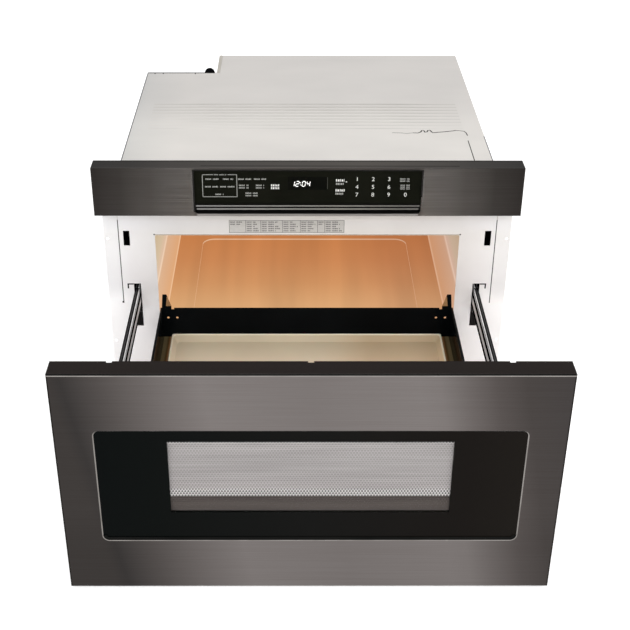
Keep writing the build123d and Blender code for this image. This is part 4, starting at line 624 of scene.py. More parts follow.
def words(x_span, z, height, front, rise):
    """A line of small strokes that reads as lettering from afar and says nothing close by."""
    widths, tops, gap = (0.9, 1.3, 0.7, 1.1), (0.5, 0.42, 0.5, 0.36, 0.5), 0.28
    word_length, word_gap, shortest = 7, 5, 0.5
    strokes = []
    x = x_span[0]
    count = 0
    while x < x_span[1] - shortest:
        width = widths[count % len(widths)] * height / 2
        top = z + height * tops[count % len(tops)]
        if count % word_length != word_gap:
            strokes.append(printed((x, min(x + width, x_span[1])), (z - height / 2, top),
                                   front, rise))
        x += width + gap * height
        count += 1
    return merged(strokes)


columns = [0, 24.2, 46, 77.7, 103.6, 128.6, 139.1, 167.5]
short_columns = (0, 5)
line_lengths = (0.92, 0.7, 0.8, 0.6, 0.85)
column_margin = 1.6
half_line = line_width / 2
lines = []
for column in columns:
    x = min(max(label_low.x + column, label_low.x + half_line), label_high.x - half_line)
    lines.append(printed((x - half_line, x + half_line), (label_low.z, label_high.z),
                         label_front, ink_rise))
for edge in (label_low.z + half_line, label_high.z - half_line):
    lines.append(printed((label_low.x, label_high.x), (edge - half_line, edge + half_line),
                         label_front, ink_rise))
for at, (left, right) in enumerate(zip(columns[:-1], columns[1:])):
    for row in range(2 if at in short_columns else 5):
        z = label_high.z - first_line_drop - row * line_pitch
        share = line_lengths[(row + at) % len(line_lengths)]
        start = label_low.x + left + column_margin
        lines.append(words((start, start + (right - left - 2 * column_margin) * share), z,
                           text_height, label_front, ink_rise))
piece("label_print", merged(lines), label_ink, "cabinet")

# ---------------------------------------------------------------- oven cavity
# The cavity is folded and spot-welded from bright stainless sheet, its floor embossed. A small
# lamp behind a perforated patch lights it from the side, so the whole inside glows amber.

streak_width = 34
streak_length = 420
amber_steel = finish(
    "stainless_steel_amber_lit", "#ececec", "#ffffff",
    (streak_width, streak_length, streak_length), (0.3, 0.42), detail=1.5,
    Specular_IOR_Level=0.12)

# The lamp's light is painted into the walls as a glow: strongest by the floor's front and on the
# left wall, weaker on the right, with bright bands low on the walls and near 208 mm up as painted
# highlights. Only faces that look into the cavity glow; under the glow they are dark brown, outside
# plain grey.
cavity_middle = (0, -70, 192)
cavity_glow = 0.93
tree, shader, streaks, place = opened(amber_steel)
parts = add(tree, "SeparateXYZ", None, {0: place}).outputs
shape = add(tree, "NewGeometry")
inwards = add(tree, "VectorMath", {"operation": "SUBTRACT"}, {
    0: [side * MM for side in cavity_middle], 1: place})
agree = add(tree, "VectorMath", {"operation": "DOT_PRODUCT"}, {
    0: shape.outputs["Normal"], 1: inwards.outputs[0]})
inner_face = add(tree, "Math", {"operation": "GREATER_THAN"}, {0: agree.outputs["Value"], 1: 0})
floor_glow = colour_ramp(tree, parts["Y"], [
    (-250, "#e8b682"), (-168, "#e2ae7a"), (-80, "#d59763"), (0, "#cf8955"), (90, "#ca804a"),
    (141, "#ba7340")])
wall_glow = colour_ramp(tree, parts["Z"], [
    (95, "#ebbe9a"), (98.2, "#f1c9a4"), (98.7, "#dfac82"), (104, "#f0cba6"), (110, "#daa87c"),
    (150, "#d8ac86"), (200, "#d6b292"), (208, "#f2dcc4"), (214, "#dbc2aa"), (240, "#cec1a6"),
    (287, "#c2b698")])
glowing = add(tree, "Mix", {"data_type": "RGBA"}, {0: looks_up(tree), 6: wall_glow, 7: floor_glow})
rightward = colour_ramp(tree, parts["X"], [
    (-224, "#ffffff"), (60, "#fdfcfd"), (150, "#f3edf2"), (224, "#eee9f0")])
glowing = add(tree, "Mix", {"data_type": "RGBA", "blend_type": "MULTIPLY"}, {
    0: 1.0, 6: glowing.outputs[2], 7: rightward})
glowing = add(tree, "Mix", {"data_type": "RGBA", "blend_type": "MULTIPLY"}, {
    0: 1.0, 6: glowing.outputs[2], 7: streaks})
steel_tone = add(tree, "Mix", {"data_type": "RGBA"}, {
    0: inner_face.outputs[0], 6: linear("#8e8f90"), 7: linear("#3a2414")})
tree.links.new(steel_tone.outputs[2], shader.inputs["Base Color"])
tree.links.new(glowing.outputs[2], shader.inputs["Emission Color"])
strength = add(tree, "Math", {"operation": "MULTIPLY"}, {
    0: inner_face.outputs[0], 1: cavity_glow})
tree.links.new(strength.outputs[0], shader.inputs["Emission Strength"])
dress(amber_steel, "oven_cavity")

# ---------------------------------------------------------------- oven lamp
# A small bulb of blown glass, frosted inside, screwed into a holder that is folded from
# zinc-dipped sheet. Lit, it is an even warm white.

frosted_glass = finish(
    "bulb_glass_frosted", "#fff0d0", "#ffe2b0", (6, 6, 6), (0.35, 0.45), detail=1.0,
    Emission_Strength=2.0, Emission_Color=linear("#ffc27a"))
dress(frosted_glass, "oven_lamp")
dress(zinc_sheet, "lamp_holder")

# ---------------------------------------------------------------- stirrer cover
# The stirrer turns behind a thin plate of mica: flakes of the mineral pressed into a sheet
# and clipped in. It is brownish and silky, with the flakes just showing.

mica = finish("mica_pressed", "#b09a78", "#cdbc9c", (7, 7, 7), (0.3, 0.5), relief=0.04)
dress(mica, "stirrer_cover")

# ---------------------------------------------------------------- microwave source
# Magnetron, waveguide and stirrer, with the high voltage parts on the base pan. All of it is
# bought-in parts: aluminium, varnished iron, enamelled copper and glass-fibre board.

# Rolled aluminium: pale grey with fine streaks along the roll, drawn 1.5 mm apart to show.
rolled_aluminium = finish(
    "aluminium_sheet_rolled", "#b3b6b8", "#d0d2d3", (60, 1.5, 1.5), (0.28, 0.4), metallic=1.0)
dress(rolled_aluminium, "stirrer", "capacitor", "magnetron")

# Laminations: half-millimetre steel plates on edge under brown varnish, drawn 2 mm apart.
varnished_core = finish(
    "electrical_steel_laminated", "#2e2b2a", "#4b4643", (60, 2, 60), (0.4, 0.55), metallic=0.6,
    relief=0.25)
dress(varnished_core, "transformer_core", "fan_motor", "stirrer_motor", "drive_motor")

# Windings: round enamelled wire lying in layers, a wire about every 1.2 mm.
wire_pitch = 1.2
copper_wire = finish(
    "copper_wire_enamelled", "#8a4a26", "#b8713f", (40, 40, wire_pitch), (0.25, 0.38),
    metallic=0.8, relief=0.4, detail=0.5)
dress(copper_wire, "transformer_coils")

# Circuit board: woven glass and resin under green lacquer, satin and very slightly mottled.
board_green = finish(
    "glass_fibre_board_lacquered", "#12492c", "#1c6440", (3, 3, 3), (0.3, 0.42), detail=5.0)
dress(board_green, "control_board", "filter_board")

# ---------------------------------------------------------------- cooling fan
# A shroud pressed from zinc-dipped sheet, with a moulded acetal wheel on the motor's shaft; it
# blows across the magnetron and out of the vents.

# Acetal: moulded milky white with a soft waxy sheen.
acetal_white = finish(
    "acetal_white_moulded", "#cfcfca", "#dcdcd7", (8, 8, 8), (0.35, 0.45), relief=0.03)
dress(zinc_sheet, "fan_shroud")
dress(acetal_white, "fan_wheel")

# ---------------------------------------------------------------- rack drive
# Two racks under the basket run on pinions that one cross shaft joins; a gear motor turns it.
# Racks and gears are moulded acetal, the shaft ground steel, the bearings black nylon.

dress(acetal_white, "racks", "drive_gears", "rack_guides", "motor_pinion")
# Ground bar: bright, with fine rings round it from the wheel, drawn 0.8 mm apart to show.
ground_steel = finish(
    "steel_bar_ground", "#94979a", "#b9bcbe", (0.8, 30, 30), (0.16, 0.26), metallic=1.0)
dress(ground_steel, "cross_shaft", "plunger_left", "plunger_right")
dress(nylon_black, "shaft_bearings", "latch_housings", "interlock_switches")

# ---------------------------------------------------------------- ball slides
# Each slide is three rolled steel channels with two caged rows of balls between them. Their colour
# is painted in bands of light and shade.

# Painted light and shade, up the channels' inner faces and across their tops: near-black bands
# where they stand in shade between each other, and bright bands where their edges catch the light,
# over fine streaks along the slide.
slide_steel_light_bands = shade_along(finish(
    "steel_channel_painted_bands", "#dcdcdc", "#ffffff", (2.5, 60, 2.5), (0.3, 0.45),
    Specular_IOR_Level=0.0),
    "Z", [(158, "#020203"), (170.6, "#020203"), (171, "#efeced"), (180, "#f6f3f3"),
          (180.4, "#020203"), (192, "#020203")],
    top=("X", [(249, "#020203"), (250.7, "#030304"), (250.9, "#f2efef"), (252.7, "#efecec"),
               (252.9, "#030304"), (254.4, "#040405"), (254.8, "#4a4949"), (256.8, "#3c3b3c"),
               (257.1, "#040405"), (259, "#030304")], True))
bright_race = finish(
    "steel_race_rolled_bright", "#b9bcc0", "#dcdee0", (1.5, 80, 1.5), (0.14, 0.24), metallic=1.0)
dress(slide_steel_light_bands, "slide_middle_members", "slide_cabinet_members", "slide_drawer_members")
dress(bright_race, "slide_outer_cages", "slide_inner_cages")
dress(slide_steel_light_bands, "drawer_brackets")
dress(screw_steel, "bracket_screws")

# ---------------------------------------------------------------- control panel
# A pan folded from brushed black stainless and screwed across the top of the front, over a
# zinc-dipped back plate. A pocket for the keys is pressed into its middle.

# Black stainless: brushed along X, then coloured in a bath; the strokes are a few tenths of a
# millimetre apart and drawn 0.9 mm apart so that they show.
stroke_pitch = 0.9
stroke_length = 110
# The bath's colour also dulls the steel where it is seen at a flat angle.
edge_tint = (0.7, 0.7, 0.7, 1)
# Its colour along X is a painted reflection: brightest just outside the pocket, darker towards both
# ends and a little darker over the pocket. On faces that look up it is a painted shade, darker at
# both ends; near the top of the front it is painted a little darker.
panel_steel = shade_along(shade_along(finish(
    "black_stainless_brushed_panel", "#e9e7e6", "#ffffff",
    (stroke_length, stroke_length, stroke_pitch), (0.3, 0.42), metallic=1.0, relief=0.02,
    detail=4.0, Specular_Tint=edge_tint),
    "Z", [(350, "#ffffff"), (399, "#efefef"), (403.3, "#efefef"), (403.8, "#ffffff"),
          (404.5, "#ffffff")]),
    "X", [(-303, "#3d3937"), (-263, "#524e4b"), (-221, "#78736f"), (-164, "#b2ada9"),
          (-157, "#8c8784"), (157, "#8c8784"), (164, "#b5b0ac"), (221, "#77726e"),
          (263, "#4e4a47"), (303, "#3b3735")],
    top=("X", [(-303, "#252221"), (-250, "#2d2a28"), (-200, "#413d3a"), (76, "#55514c"),
               (180, "#4a4642"), (303, "#252221")], False))
dress(panel_steel, "control_panel_skin")

# Painted shadow: dark strips for a fine groove along its folded top and for its rear edge, which
# stands in shadow on the case.
panel_low, panel_high = [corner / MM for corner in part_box("control_panel_skin")]
groove_width = 2
rear_band = 3.2
rear_band_y = panel_high.y - rear_band / 2
groove_shadows = [
    ribbon([(-150, -299.3), (212, -300)], groove_width, panel_high.z, cut_rise),
    ribbon([(panel_low.x, rear_band_y), (panel_high.x, rear_band_y)], rear_band,
           panel_high.z, cut_rise)]
groove_shade = finish("panel_groove_shadow", "#1f1d1b", "#2e2b29", (60, 3, 3), (0.5, 0.6),
                      Specular_IOR_Level=0.05)
piece("panel_top_groove_shadows", merged(groove_shadows), groove_shade, "cabinet")
# Where the top folds down into the front a narrow paler line is painted: the fold's highlight,
# brightest left of the middle.
panel_fold_highlight = shade_along(finish(
    "black_stainless_fold_highlight", "#e4e4e4", "#ffffff", (60, 3, 3), (0.3, 0.4), metallic=1.0,
    Specular_Tint=edge_tint),
    "X", [(-303, "#302d2b"), (-60, "#66615c"), (147, "#413e3b"), (190, "#4e4a46"),
          (303, "#2e2b29")])
fold_y = panel_low.y + 1.9
fold_width = 3
panel_fold = ribbon([(panel_low.x + 1, fold_y), (panel_high.x - 1, fold_y)], fold_width,
                    panel_high.z, cut_rise)
piece("panel_front_fold_highlight", panel_fold, panel_fold_highlight, "cabinet")
dress(zinc_sheet, "control_panel_back")

# ---------------------------------------------------------------- key frame
# A frame of black ABS, clipped into the panel's pocket, holds the touch glass. Below the
# glass it has a ledge and a dark slot.

# ABS: moulded black, with the even grain of a spark-eroded mould. The grain is a tenth of a
# millimetre in truth and is drawn 0.9 mm wide so that it shows.
abs_black = finish(
    "abs_black_moulded", "#100f0e", "#191817", (0.9, 0.9, 0.9), (0.34, 0.46), relief=0.02,
    Specular_IOR_Level=0.12)
dress(abs_black, "key_frame", "display_module")

# Painted highlights: the edges of the frame's ledge and of its lower bar catch the light as bright
# strips, dimmer towards the right.
glint_rise = 0.06
frame_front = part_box("key_frame")[0].y / MM
panel_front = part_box("control_panel_skin")[0].y / MM
bar_front = frame_front + 2.7
edge_glint = shade_along(finish(
    "abs_edge_glint", "#d9d9d9", "#f0f0f0", (30, 30, 30), (0.3, 0.4),
    Specular_IOR_Level=0.05),
    "X", [(-160, "#a5a4a3"), (-40, "#a09f9a"), (60, "#97968f"), (160, "#85837f")])
glints = [slab((-158, 158), (frame_front - glint_rise, frame_front), (346.3, 348.0)),
          slab((-157, 157), (bar_front - glint_rise, bar_front), (340.0, 342.3))]
piece("frame_glints", merged(glints), edge_glint, "cabinet")

# The pocket is pressed into the panel. Round the frame a black strip paints the shadow of the gap,
# and outside it a paler strip paints the highlight on the pocket's lip, which is widest below the
# pocket, where the panel is only 3 mm high, and dimmer at the sides.
gap_rise = 0.04
gap_inner, gap_outer, lip_outer = 159.4, 161.6, 163
pocket_skin = (panel_front - gap_rise, panel_front)
pocket_gap_shadow = merged([
    slab((-gap_outer, -gap_inner), pocket_skin, (337, 401.8)),
    slab((gap_inner, gap_outer), pocket_skin, (360, 401.8)),
    slab((-gap_inner, gap_inner), pocket_skin, (400.1, 402.1))])
piece("pocket_gap_shadow", pocket_gap_shadow, gap_shadow_black, "cabinet")
lip_highlight_steel = shade_along(finish(
    "black_stainless_lip_highlight", "#85817e", "#96928f", (40, 3, 3), (0.4, 0.5),
    Specular_IOR_Level=0.05),
    "X", [(0, "#ffffff"), (157.5, "#ffffff"), (160, "#b8b8b8"), (164, "#b8b8b8")], True)
pocket_lip_highlight = merged([
    slab((-lip_outer, -gap_outer), pocket_skin, (338, 396)),
    slab((gap_outer, lip_outer), pocket_skin, (345, 392)),
    slab((-157, 157), (frame_front - gap_rise, panel_front), (331.2, 334.2))])
piece("pocket_lip_highlight", pocket_lip_highlight, lip_highlight_steel, "cabinet")

# ---------------------------------------------------------------- touch glass
# A pane of float glass, glued into the frame and printed black on its back, so it is deep and
# even with a sharp gloss. The keys' legends are printed on it; they do not move.

key_glass_black = finish(
    "float_glass_back_printed", "#13140f", "#171812", (40, 40, 40), (0.05, 0.09),
    Specular_IOR_Level=0.06)
dress(key_glass_black, "key_glass")

glass_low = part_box("key_glass")[0] / MM
print_rise = 0.05
# Screen-printed ink is matt: grey for the legends, white for the figures.
print_grey = finish("key_print_grey", "#a2a39f", "#b0b1ad", (3, 3, 3), (0.5, 0.6))
print_white = finish("key_print_white", "#dfe0dc", "#ecedea", (3, 3, 3), (0.5, 0.6))


def legend(x_span, rows, height):
    """A key's legend: lines of unreadable small lettering, each centred at a height."""
    return merged([words(x_span, z, height, glass_low.y, print_rise) for z in rows])


# A thin line goes round one group of keys, open above where the group's name stands.
box_left, box_right, box_low, box_high = -148.2, -99.2, 359.2, 393.8
name_left, name_right = -132.6, -112.2
outline_width = 0.8
top_line = (box_high - outline_width, box_high)
outline_spans = [
    ((box_left, box_left + outline_width), (box_low, box_high)),
    ((box_right - outline_width, box_right), (box_low, box_high)),
    ((box_left, box_right), (box_low, box_low + outline_width)),
    ((box_left, name_left), top_line),
    ((name_right, box_right), top_line)]
outlines = [printed(x_span, z_span, glass_low.y, print_rise) for x_span, z_span in outline_spans]
outlines.append(legend((-131.3, -113.4), [393.4], 1.5))
piece("key_group_outline", merged(outlines), print_grey, "cabinet")

# Each legend is its span across, the heights of its lines and the height of its letters.
grey_keys = [
    ((-143.4, -125.0), [386.7], 2.2), ((-119.0, -104.7), [386.7], 2.2),
    ((-97.8, -79.6), [386.7], 2.2), ((-75.4, -58.6), [386.7], 2.2),
    ((-144.4, -125.6), [375.1], 2.2), ((-123.1, -102.2), [375.1], 2.2),
    ((-96.6, -82.7), [377.2, 373.4], 2.2), ((-72.8, -61.6), [377.2, 373.4], 2.2),
    ((-130.1, -118.1), [363.4], 2.2), ((-87.7, -70.2), [365.2, 361.4], 2.2),
    ((39.5, 51.3), [379.5], 3.0), ((39.1, 52.8), [364.4], 3.0),
    ((129.2, 142.5), [387.0, 383.8], 2.0), ((130.2, 143.1), [377.4, 374.6, 371.8], 1.7)]
piece("key_legends", merged([legend(*key) for key in grey_keys]), print_grey,
      "cabinet")
bright_keys = [
    ((-51.7, -37.7), [377.2, 373.0], 3.2), ((39.4, 51.2), [384.9], 3.6),
    ((39.0, 52.8), [369.6], 3.6)]
bright_dot = printed((53.2, 54.9), (381.7, 383.4), glass_low.y, print_rise)
piece("key_legends_bright", merged([legend(*key) for key in bright_keys] + [bright_dot]),
      print_white, "cabinet")

digit_height = 6.2
digit_columns = [69.2, 91.6, 114.0, 137.6]
digit_rows = [386.4, 374.5, 362.6]
digit_places = {"0": (3, 2)} | {str(at + 1): (at % 3, at // 3) for at in range(9)}


def drawn_figure(figure, x, z, height):
    """A figure as a flat shape of ink on the glass, from a plain sans-serif face."""
    type_size_per_height = 1.38
    curve = bpy.data.curves.new("figure", "FONT")
    curve.body = figure
    curve.size = height * type_size_per_height * MM
    curve.align_x = "CENTER"
    curve.align_y = "CENTER"
    curve.extrude = print_rise * MM / 2
    curve.resolution_u = 4
    holder = bpy.data.objects.new("figure", curve)
    bpy.context.scene.collection.objects.link(holder)
    bpy.context.view_layer.update()
    drawn = holder.evaluated_get(bpy.context.evaluated_depsgraph_get())
    mesh = bpy.data.meshes.new_from_object(drawn)
    points = [(x + v.co.x / MM, glass_low.y - print_rise / 2 - v.co.z / MM, z + v.co.y / MM)
              for v in mesh.vertices]
    faces = [tuple(polygon.vertices) for polygon in mesh.polygons]
    bpy.data.objects.remove(holder)
    return points, faces


figures = [
    drawn_figure(figure, digit_columns[column], digit_rows[row], digit_height)
    for figure, (column, row) in digit_places.items()]
piece("key_figures", merged(figures), print_white, "cabinet")

# ---------------------------------------------------------------- display
# A lit module behind the glass, screwed to the panel's back, shows the time in slanted
# seven-segment figures. The glass is clear there, over a smoked film that looks blacker still.

segment_width = 1.0
figure_width = 4.2
figure_height = 7.6
figure_low = 375.7
slant = 0.16
segments_on = {"0": "abcdef", "1": "bc", "2": "abged", "4": "fgbc"}
segment_gap = 0.25


def seven_segment(figure, left, bottom):
    """The lit segments of a figure, each a bar with pointed ends."""
    right, top = left + figure_width, bottom + figure_height
    middle = (bottom + top) / 2
    ends = {
        "a": ((left, top), (right, top)), "b": ((right, top), (right, middle)),
        "c": ((right, middle), (right, bottom)), "d": ((left, bottom), (right, bottom)),
        "e": ((left, middle), (left, bottom)), "f": ((left, top), (left, middle)),
        "g": ((left, middle), (right, middle)),
    }
    shapes = []
    for name in segments_on[figure]:
        (x0, z0), (x1, z1) = ends[name]
        along = Vector((x1 - x0, z1 - z0)).normalized()
        across = Vector((-along.y, along.x)) * segment_width / 2
        start, end = Vector((x0, z0)) + along * segment_gap, Vector((x1, z1)) - along * segment_gap
        tip = along * segment_width / 2
        outline = [start, start + tip + across, end - tip + across, end, end - tip - across,
                   start + tip - across]
        outline = [(p.x + slant * (p.y - bottom), p.y) for p in outline]
        shapes.append(prism(outline, glass_low.y - print_rise, glass_low.y, axis=1))
    return merged(shapes)


# The segments are windows of clear film over small lamps, so they shine evenly.
time_light = finish(
    "display_segments_lit", "#f4f6f2", "#ffffff", (3, 3, 3), (0.4, 0.5),
    Emission_Strength=0.7, Emission_Color=linear("#ffffff"))
figure_starts = {"1": -23.6, "2": -17.2, "0": -8.4, "4": -2.0}
time_shapes = [seven_segment(figure, x, figure_low) for figure, x in figure_starts.items()]
colon_left, colon_side = -10.8, 1
for dot_low in (377.4, 380.6):
    time_shapes.append(printed((colon_left, colon_left + colon_side),
                               (dot_low, dot_low + colon_side), glass_low.y, print_rise))
piece("display_time", merged(time_shapes), time_light, "cabinet")

# The smoked film, and a hair of grey print that shows beside its right edge.
smoked_film = finish(
    "display_window_smoked", "#0b0c0a", "#0f100d", (30, 30, 30), (0.12, 0.18),
    Specular_IOR_Level=0.06)
film_edge = finish("display_edge_printed", "#33342f", "#3d3e38", (3, 3, 3), (0.4, 0.5))
film_rise, film_edge_rise = 0.02, 0.03
piece("display_window", printed((-27.8, 27.0), (370.4, 390.2), glass_low.y, film_rise),
      smoked_film, "cabinet")
piece("display_window_edge", printed((27.2, 28.0), (371.5, 389.5), glass_low.y, film_edge_rise),
      film_edge, "cabinet")

# ---------------------------------------------------------------- drawer front
# A folded pan of the same black stainless, 606 mm wide, screwed to a zinc-dipped inner frame
# with a moulded choke cover behind it, and closed on top by a powder-coated strip.

# Painted reflection and shade: the room's reflection leans across the front, its bright middle
# further right low down; the front is painted darker towards the bottom and at its side edges,
# nearly black at the left one.
reflection_lean = 0.19
front_steel = shade_along(shade_along(shade_along(finish(
    "black_stainless_brushed_front", "#f0eeed", "#ffffff",
    (stroke_length, stroke_length, stroke_pitch), (0.3, 0.42), metallic=1.0, relief=0.02,
    detail=4.0),
    "Z", [(0, "#f0f0f0"), (75, "#f3f3f3"), (130, "#ffffff"), (340, "#ffffff")]),
    "X", [(-303, "#030303"), (-301.2, "#060606"), (-300.8, "#ffffff"), (301, "#ffffff"),
          (302.2, "#525252"), (303, "#505050")]),
    "X", [(-243, "#45413f"), (-228, "#403d3c"), (-183, "#5c5755"), (-115, "#7c7674"),
          (-69, "#8b8583"), (57, "#857f7d"), (183, "#8b8583"), (207, "#888280"),
          (239, "#756f6d"), (272, "#605a58"), (307, "#514c4a"), (360, "#4d4948")],
    lean=reflection_lean)
dress(front_steel, "drawer_front_skin")

# Powder coat: baked on, dark brown and dull, with an orange-peel of a millimetre or so.
trim_paint = finish(
    "powder_coat_dark_brown", "#1d1918", "#272220", (1.2, 1.2, 1.2), (0.4, 0.5), relief=0.02,
    Specular_IOR_Level=0.02)
dress(trim_paint, "drawer_top_trim")
dress(zinc_sheet, "inner_frame")
dress(abs_black, "choke_cover")
dress(screw_steel, "latch_hooks")

# ---------------------------------------------------------------- window opening
# A rounded opening is cut in the front pan, and its edge is turned in and polished: a bright
# bevel about a millimetre wide.

front_low, front_high = [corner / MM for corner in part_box("drawer_front_skin")]
window_low, window_high = [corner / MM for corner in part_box("window_glass")]
pane_overlap = 6
opening = (window_low.x + pane_overlap, window_high.x - pane_overlap,
           window_low.z + pane_overlap, window_high.z - pane_overlap)
opening_corner = 8


def rounded_outline(x0, x1, z0, z1, radius, steps=8):
    """Corners of a rectangle with rounded corners, counter-clockwise from its lower right."""
    outline = []
    for middle_x, middle_z, turn in (
        (x1 - radius, z0 + radius, -90), (x1 - radius, z1 - radius, 0),
        (x0 + radius, z1 - radius, 90), (x0 + radius, z0 + radius, 180),
    ):
        for step in range(steps + 1):
            angle = math.radians(turn + 90 * step / steps)
            outline.append((middle_x + radius * math.cos(angle),
                            middle_z + radius * math.sin(angle)))
    return outline


def hoop(loops):
    """A closed band through loops of equally many points; the last joins the first."""
    count = len(loops[0])
    points = [point for loop in loops for point in loop]
    faces = []
    for turn in range(len(loops)):
        next_turn = (turn + 1) % len(loops)
        for at in range(count):
            after = (at + 1) % count
            faces.append((turn * count + at, turn * count + after,
                          next_turn * count + after, next_turn * count + at))
    return points, faces


def stood_at(y, outline):
    """An upright outline at a depth."""
    return [(x, y, z) for x, z in outline]


bevel_width = 1.3
bevel_depth = 0.9
bevel_floor = 0.1
polished_edge = finish(
    "stainless_edge_polished", "#8a8581", "#a8a39f", (30, 30, 30), (0.2, 0.3), metallic=1.0)
x0, x1, z0, z1 = opening
outer = rounded_outline(x0, x1, z0, z1, opening_corner)
inner = rounded_outline(x0 + bevel_width, x1 - bevel_width, z0 + bevel_width, z1 - bevel_width,
                        opening_corner - bevel_width)
bevel_back = front_low.y + bevel_depth + bevel_floor
bevel = hoop([
    stood_at(front_low.y, outer), stood_at(front_low.y + bevel_depth, inner),
    stood_at(bevel_back, inner), stood_at(bevel_back, outer)])
piece("window_bevel", bevel, polished_edge, "drawer")

# Along the opening's lower edge the pane's black print laps over the steel, so the bright
# bevel there lies lower; it runs up into the sides in two round corners.
lap_centre = (x0 + 9.05, z0 + 5.9)
lower_bevel_radius = 8.4
lap_radius = 5.35
lap_width = 4.8
edge_rise = 0.04


def lower_edge(radius, width):
    """A band along the opening's lower edge and round its lower corners."""
    path = []
    for turn in range(0, 91, 10):
        angle = math.radians(180 + turn)
        path.append((lap_centre[0] + radius * math.cos(angle),
                     lap_centre[1] + radius * math.sin(angle)))
    path += [(x0 + x1 - x, z) for x, z in path[::-1]]
    points, faces = ribbon(path, width, 0, edge_rise)
    return ([(x, front_low.y - height, z) for x, z, height in points],
            [face[::-1] for face in faces])


piece("window_lower_bevel", lower_edge(lower_bevel_radius, bevel_width), polished_edge, "drawer")
# Ceramic print: fired on, deep black with next to no gloss.
lap_black = finish("enamel_print_black", "#0b0c0b", "#131312", (60, 60, 60), (0.3, 0.4),
                   Specular_IOR_Level=0.03)
piece("window_lower_lap", lower_edge(lap_radius, lap_width), lap_black, "drawer")

# ---------------------------------------------------------------- upper edge of the front
# The strip on top is folded down over the front's upper edge, as a dark lip; below it a bright line
# is painted on the steel's fold: its highlight.

lip_height = 1.7
lip_reach = 0.8
fold_height = 1.4
front_fold_highlight = finish(
    "stainless_fold_highlight", "#96918d", "#b0aba7", (40, 9, 9), (0.2, 0.3), metallic=1.0)
lip_low, lip_back = front_high.z - lip_height, front_low.y + lip_reach
skin_y, skin_z = front_low.y - edge_rise, front_high.z + edge_rise
lip_outline = [
    (front_low.y, lip_low), (front_low.y, front_high.z), (lip_back, front_high.z),
    (lip_back, skin_z), (skin_y, skin_z), (skin_y, lip_low)]
piece("front_top_lip", prism(lip_outline, front_low.x, front_high.x, axis=0), lap_black,
      "drawer")
top_edge = slab((front_low.x, front_high.x), (skin_y, front_low.y + 0.2),
                (lip_low - fold_height, lip_low))
piece("front_top_edge_highlight", top_edge, front_fold_highlight, "drawer")

# ---------------------------------------------------------------- window pane
# A pane of tempered float glass, clamped behind the opening. It is printed black on its back
# all round, which gives a deep even black, and left clear before the screen.

clear_x = 170
clear_low = 122.3
clear_high = 229.3
# A painted reflection makes the black a little lighter towards the right.
window_black = shade_along(finish(
    "float_glass_black_print", "#f0f0f0", "#ffffff", (260, 260, 260), (0.05, 0.09),
    Specular_IOR_Level=0.03),
    "X", [(-263, "#070a0a"), (-190, "#090c0b"), (0, "#121211"), (190, "#151210"),
          (263, "#191613")])
pane_corner = 14
pane_edge = rounded_outline(window_low.x, window_high.x, window_low.z, window_high.z, pane_corner)


def squared(outline, x0, x1, z0, z1):
    """A plain rectangle's points that answer to those of a rounded outline, corner by corner."""
    spread = 6
    per_corner = len(outline) // 4
    half = (per_corner - 1) / 2
    points = []
    for at in range(len(outline)):
        corner, step = divmod(at, per_corner)
        reach = spread * (step - half) / half
        before, after = min(reach, 0), max(reach, 0)
        points.append([(x1 + before, z0 + after), (x1 - after, z1 + before),
                       (x0 - before, z1 - after), (x0 + after, z0 - before)][corner])
    return points


clear_edge = squared(pane_edge, -clear_x, clear_x, clear_low, clear_high)
pane_back = window_high.y - 0.02
ring = hoop([stood_at(window_low.y, pane_edge), stood_at(window_low.y, clear_edge),
             stood_at(pane_back, clear_edge), stood_at(pane_back, pane_edge)])
black_pane = piece("window_black_pane", ring, window_black, "drawer")
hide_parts("window_glass")

# Clear glass: nearly nothing shows but a faint dark veil.
clear_glass = finish(
    "float_glass_tempered", "#2c302e", "#343835", (200, 200, 200), (0.02, 0.05),
    Specular_IOR_Level=0.05, Alpha=0.05)
screen_gap = 0.4
clear_pane = slab((-clear_x, clear_x), (window_low.y, window_high.y - screen_gap),
                  (clear_low, clear_high))
piece("window_clear_pane", clear_pane, clear_glass, "drawer")
dress(clear_glass, "inner_pane")

# ---------------------------------------------------------------- window screen
# Thin sheet punched with round holes in staggered rows, 3.7 mm apart, so that light passes and
# microwaves do not; it is clamped behind the pane. Its holes are painted, and their colour is
# painted light and shade for what is seen through them: a lit grey behind most of the sheet, black
# near its upper edge and just above the darker lower strip. The sheet itself is painted darker
# along its lower strip and paler in a band just above it and along its upper edge.

hole_pitch = 3.7
hole_radius = 1.25
lowest_light_row = 145.9
row_pitch = hole_pitch * math.sqrt(3)
screen = finish(
    "perforated_steel_painted_light", "#e9e9e9", "#ffffff", (160, 90, 5), (0.5, 0.6),
    Specular_IOR_Level=0.05)
tree, shader, sheet_colour, place = opened(screen)
cell = (hole_pitch * MM, 1, row_pitch * MM)
distances = []
for shift in (0, 0.5):
    scaled = add(tree, "Mapping", None, {
        "Vector": place, "Scale": [1 / side for side in cell],
        "Location": (shift, 0, shift - lowest_light_row / row_pitch)})
    inside = add(tree, "VectorMath", {"operation": "FRACTION"}, {0: scaled.outputs[0]})
    centred = add(tree, "VectorMath", {"operation": "SUBTRACT"}, {
        0: inside.outputs[0], 1: (0.5, 0, 0.5)})
    real = add(tree, "VectorMath", {"operation": "MULTIPLY"}, {
        0: centred.outputs[0], 1: (hole_pitch, 0, row_pitch)})
    distances.append(add(tree, "VectorMath", {"operation": "LENGTH"}, {0: real.outputs[0]}))
nearest = add(tree, "Math", {"operation": "MINIMUM"}, {
    0: distances[0].outputs["Value"], 1: distances[1].outputs["Value"]})
hole = add(tree, "Math", {"operation": "LESS_THAN"}, {0: nearest.outputs[0], 1: hole_radius})
parts = add(tree, "SeparateXYZ", None, {0: place}).outputs
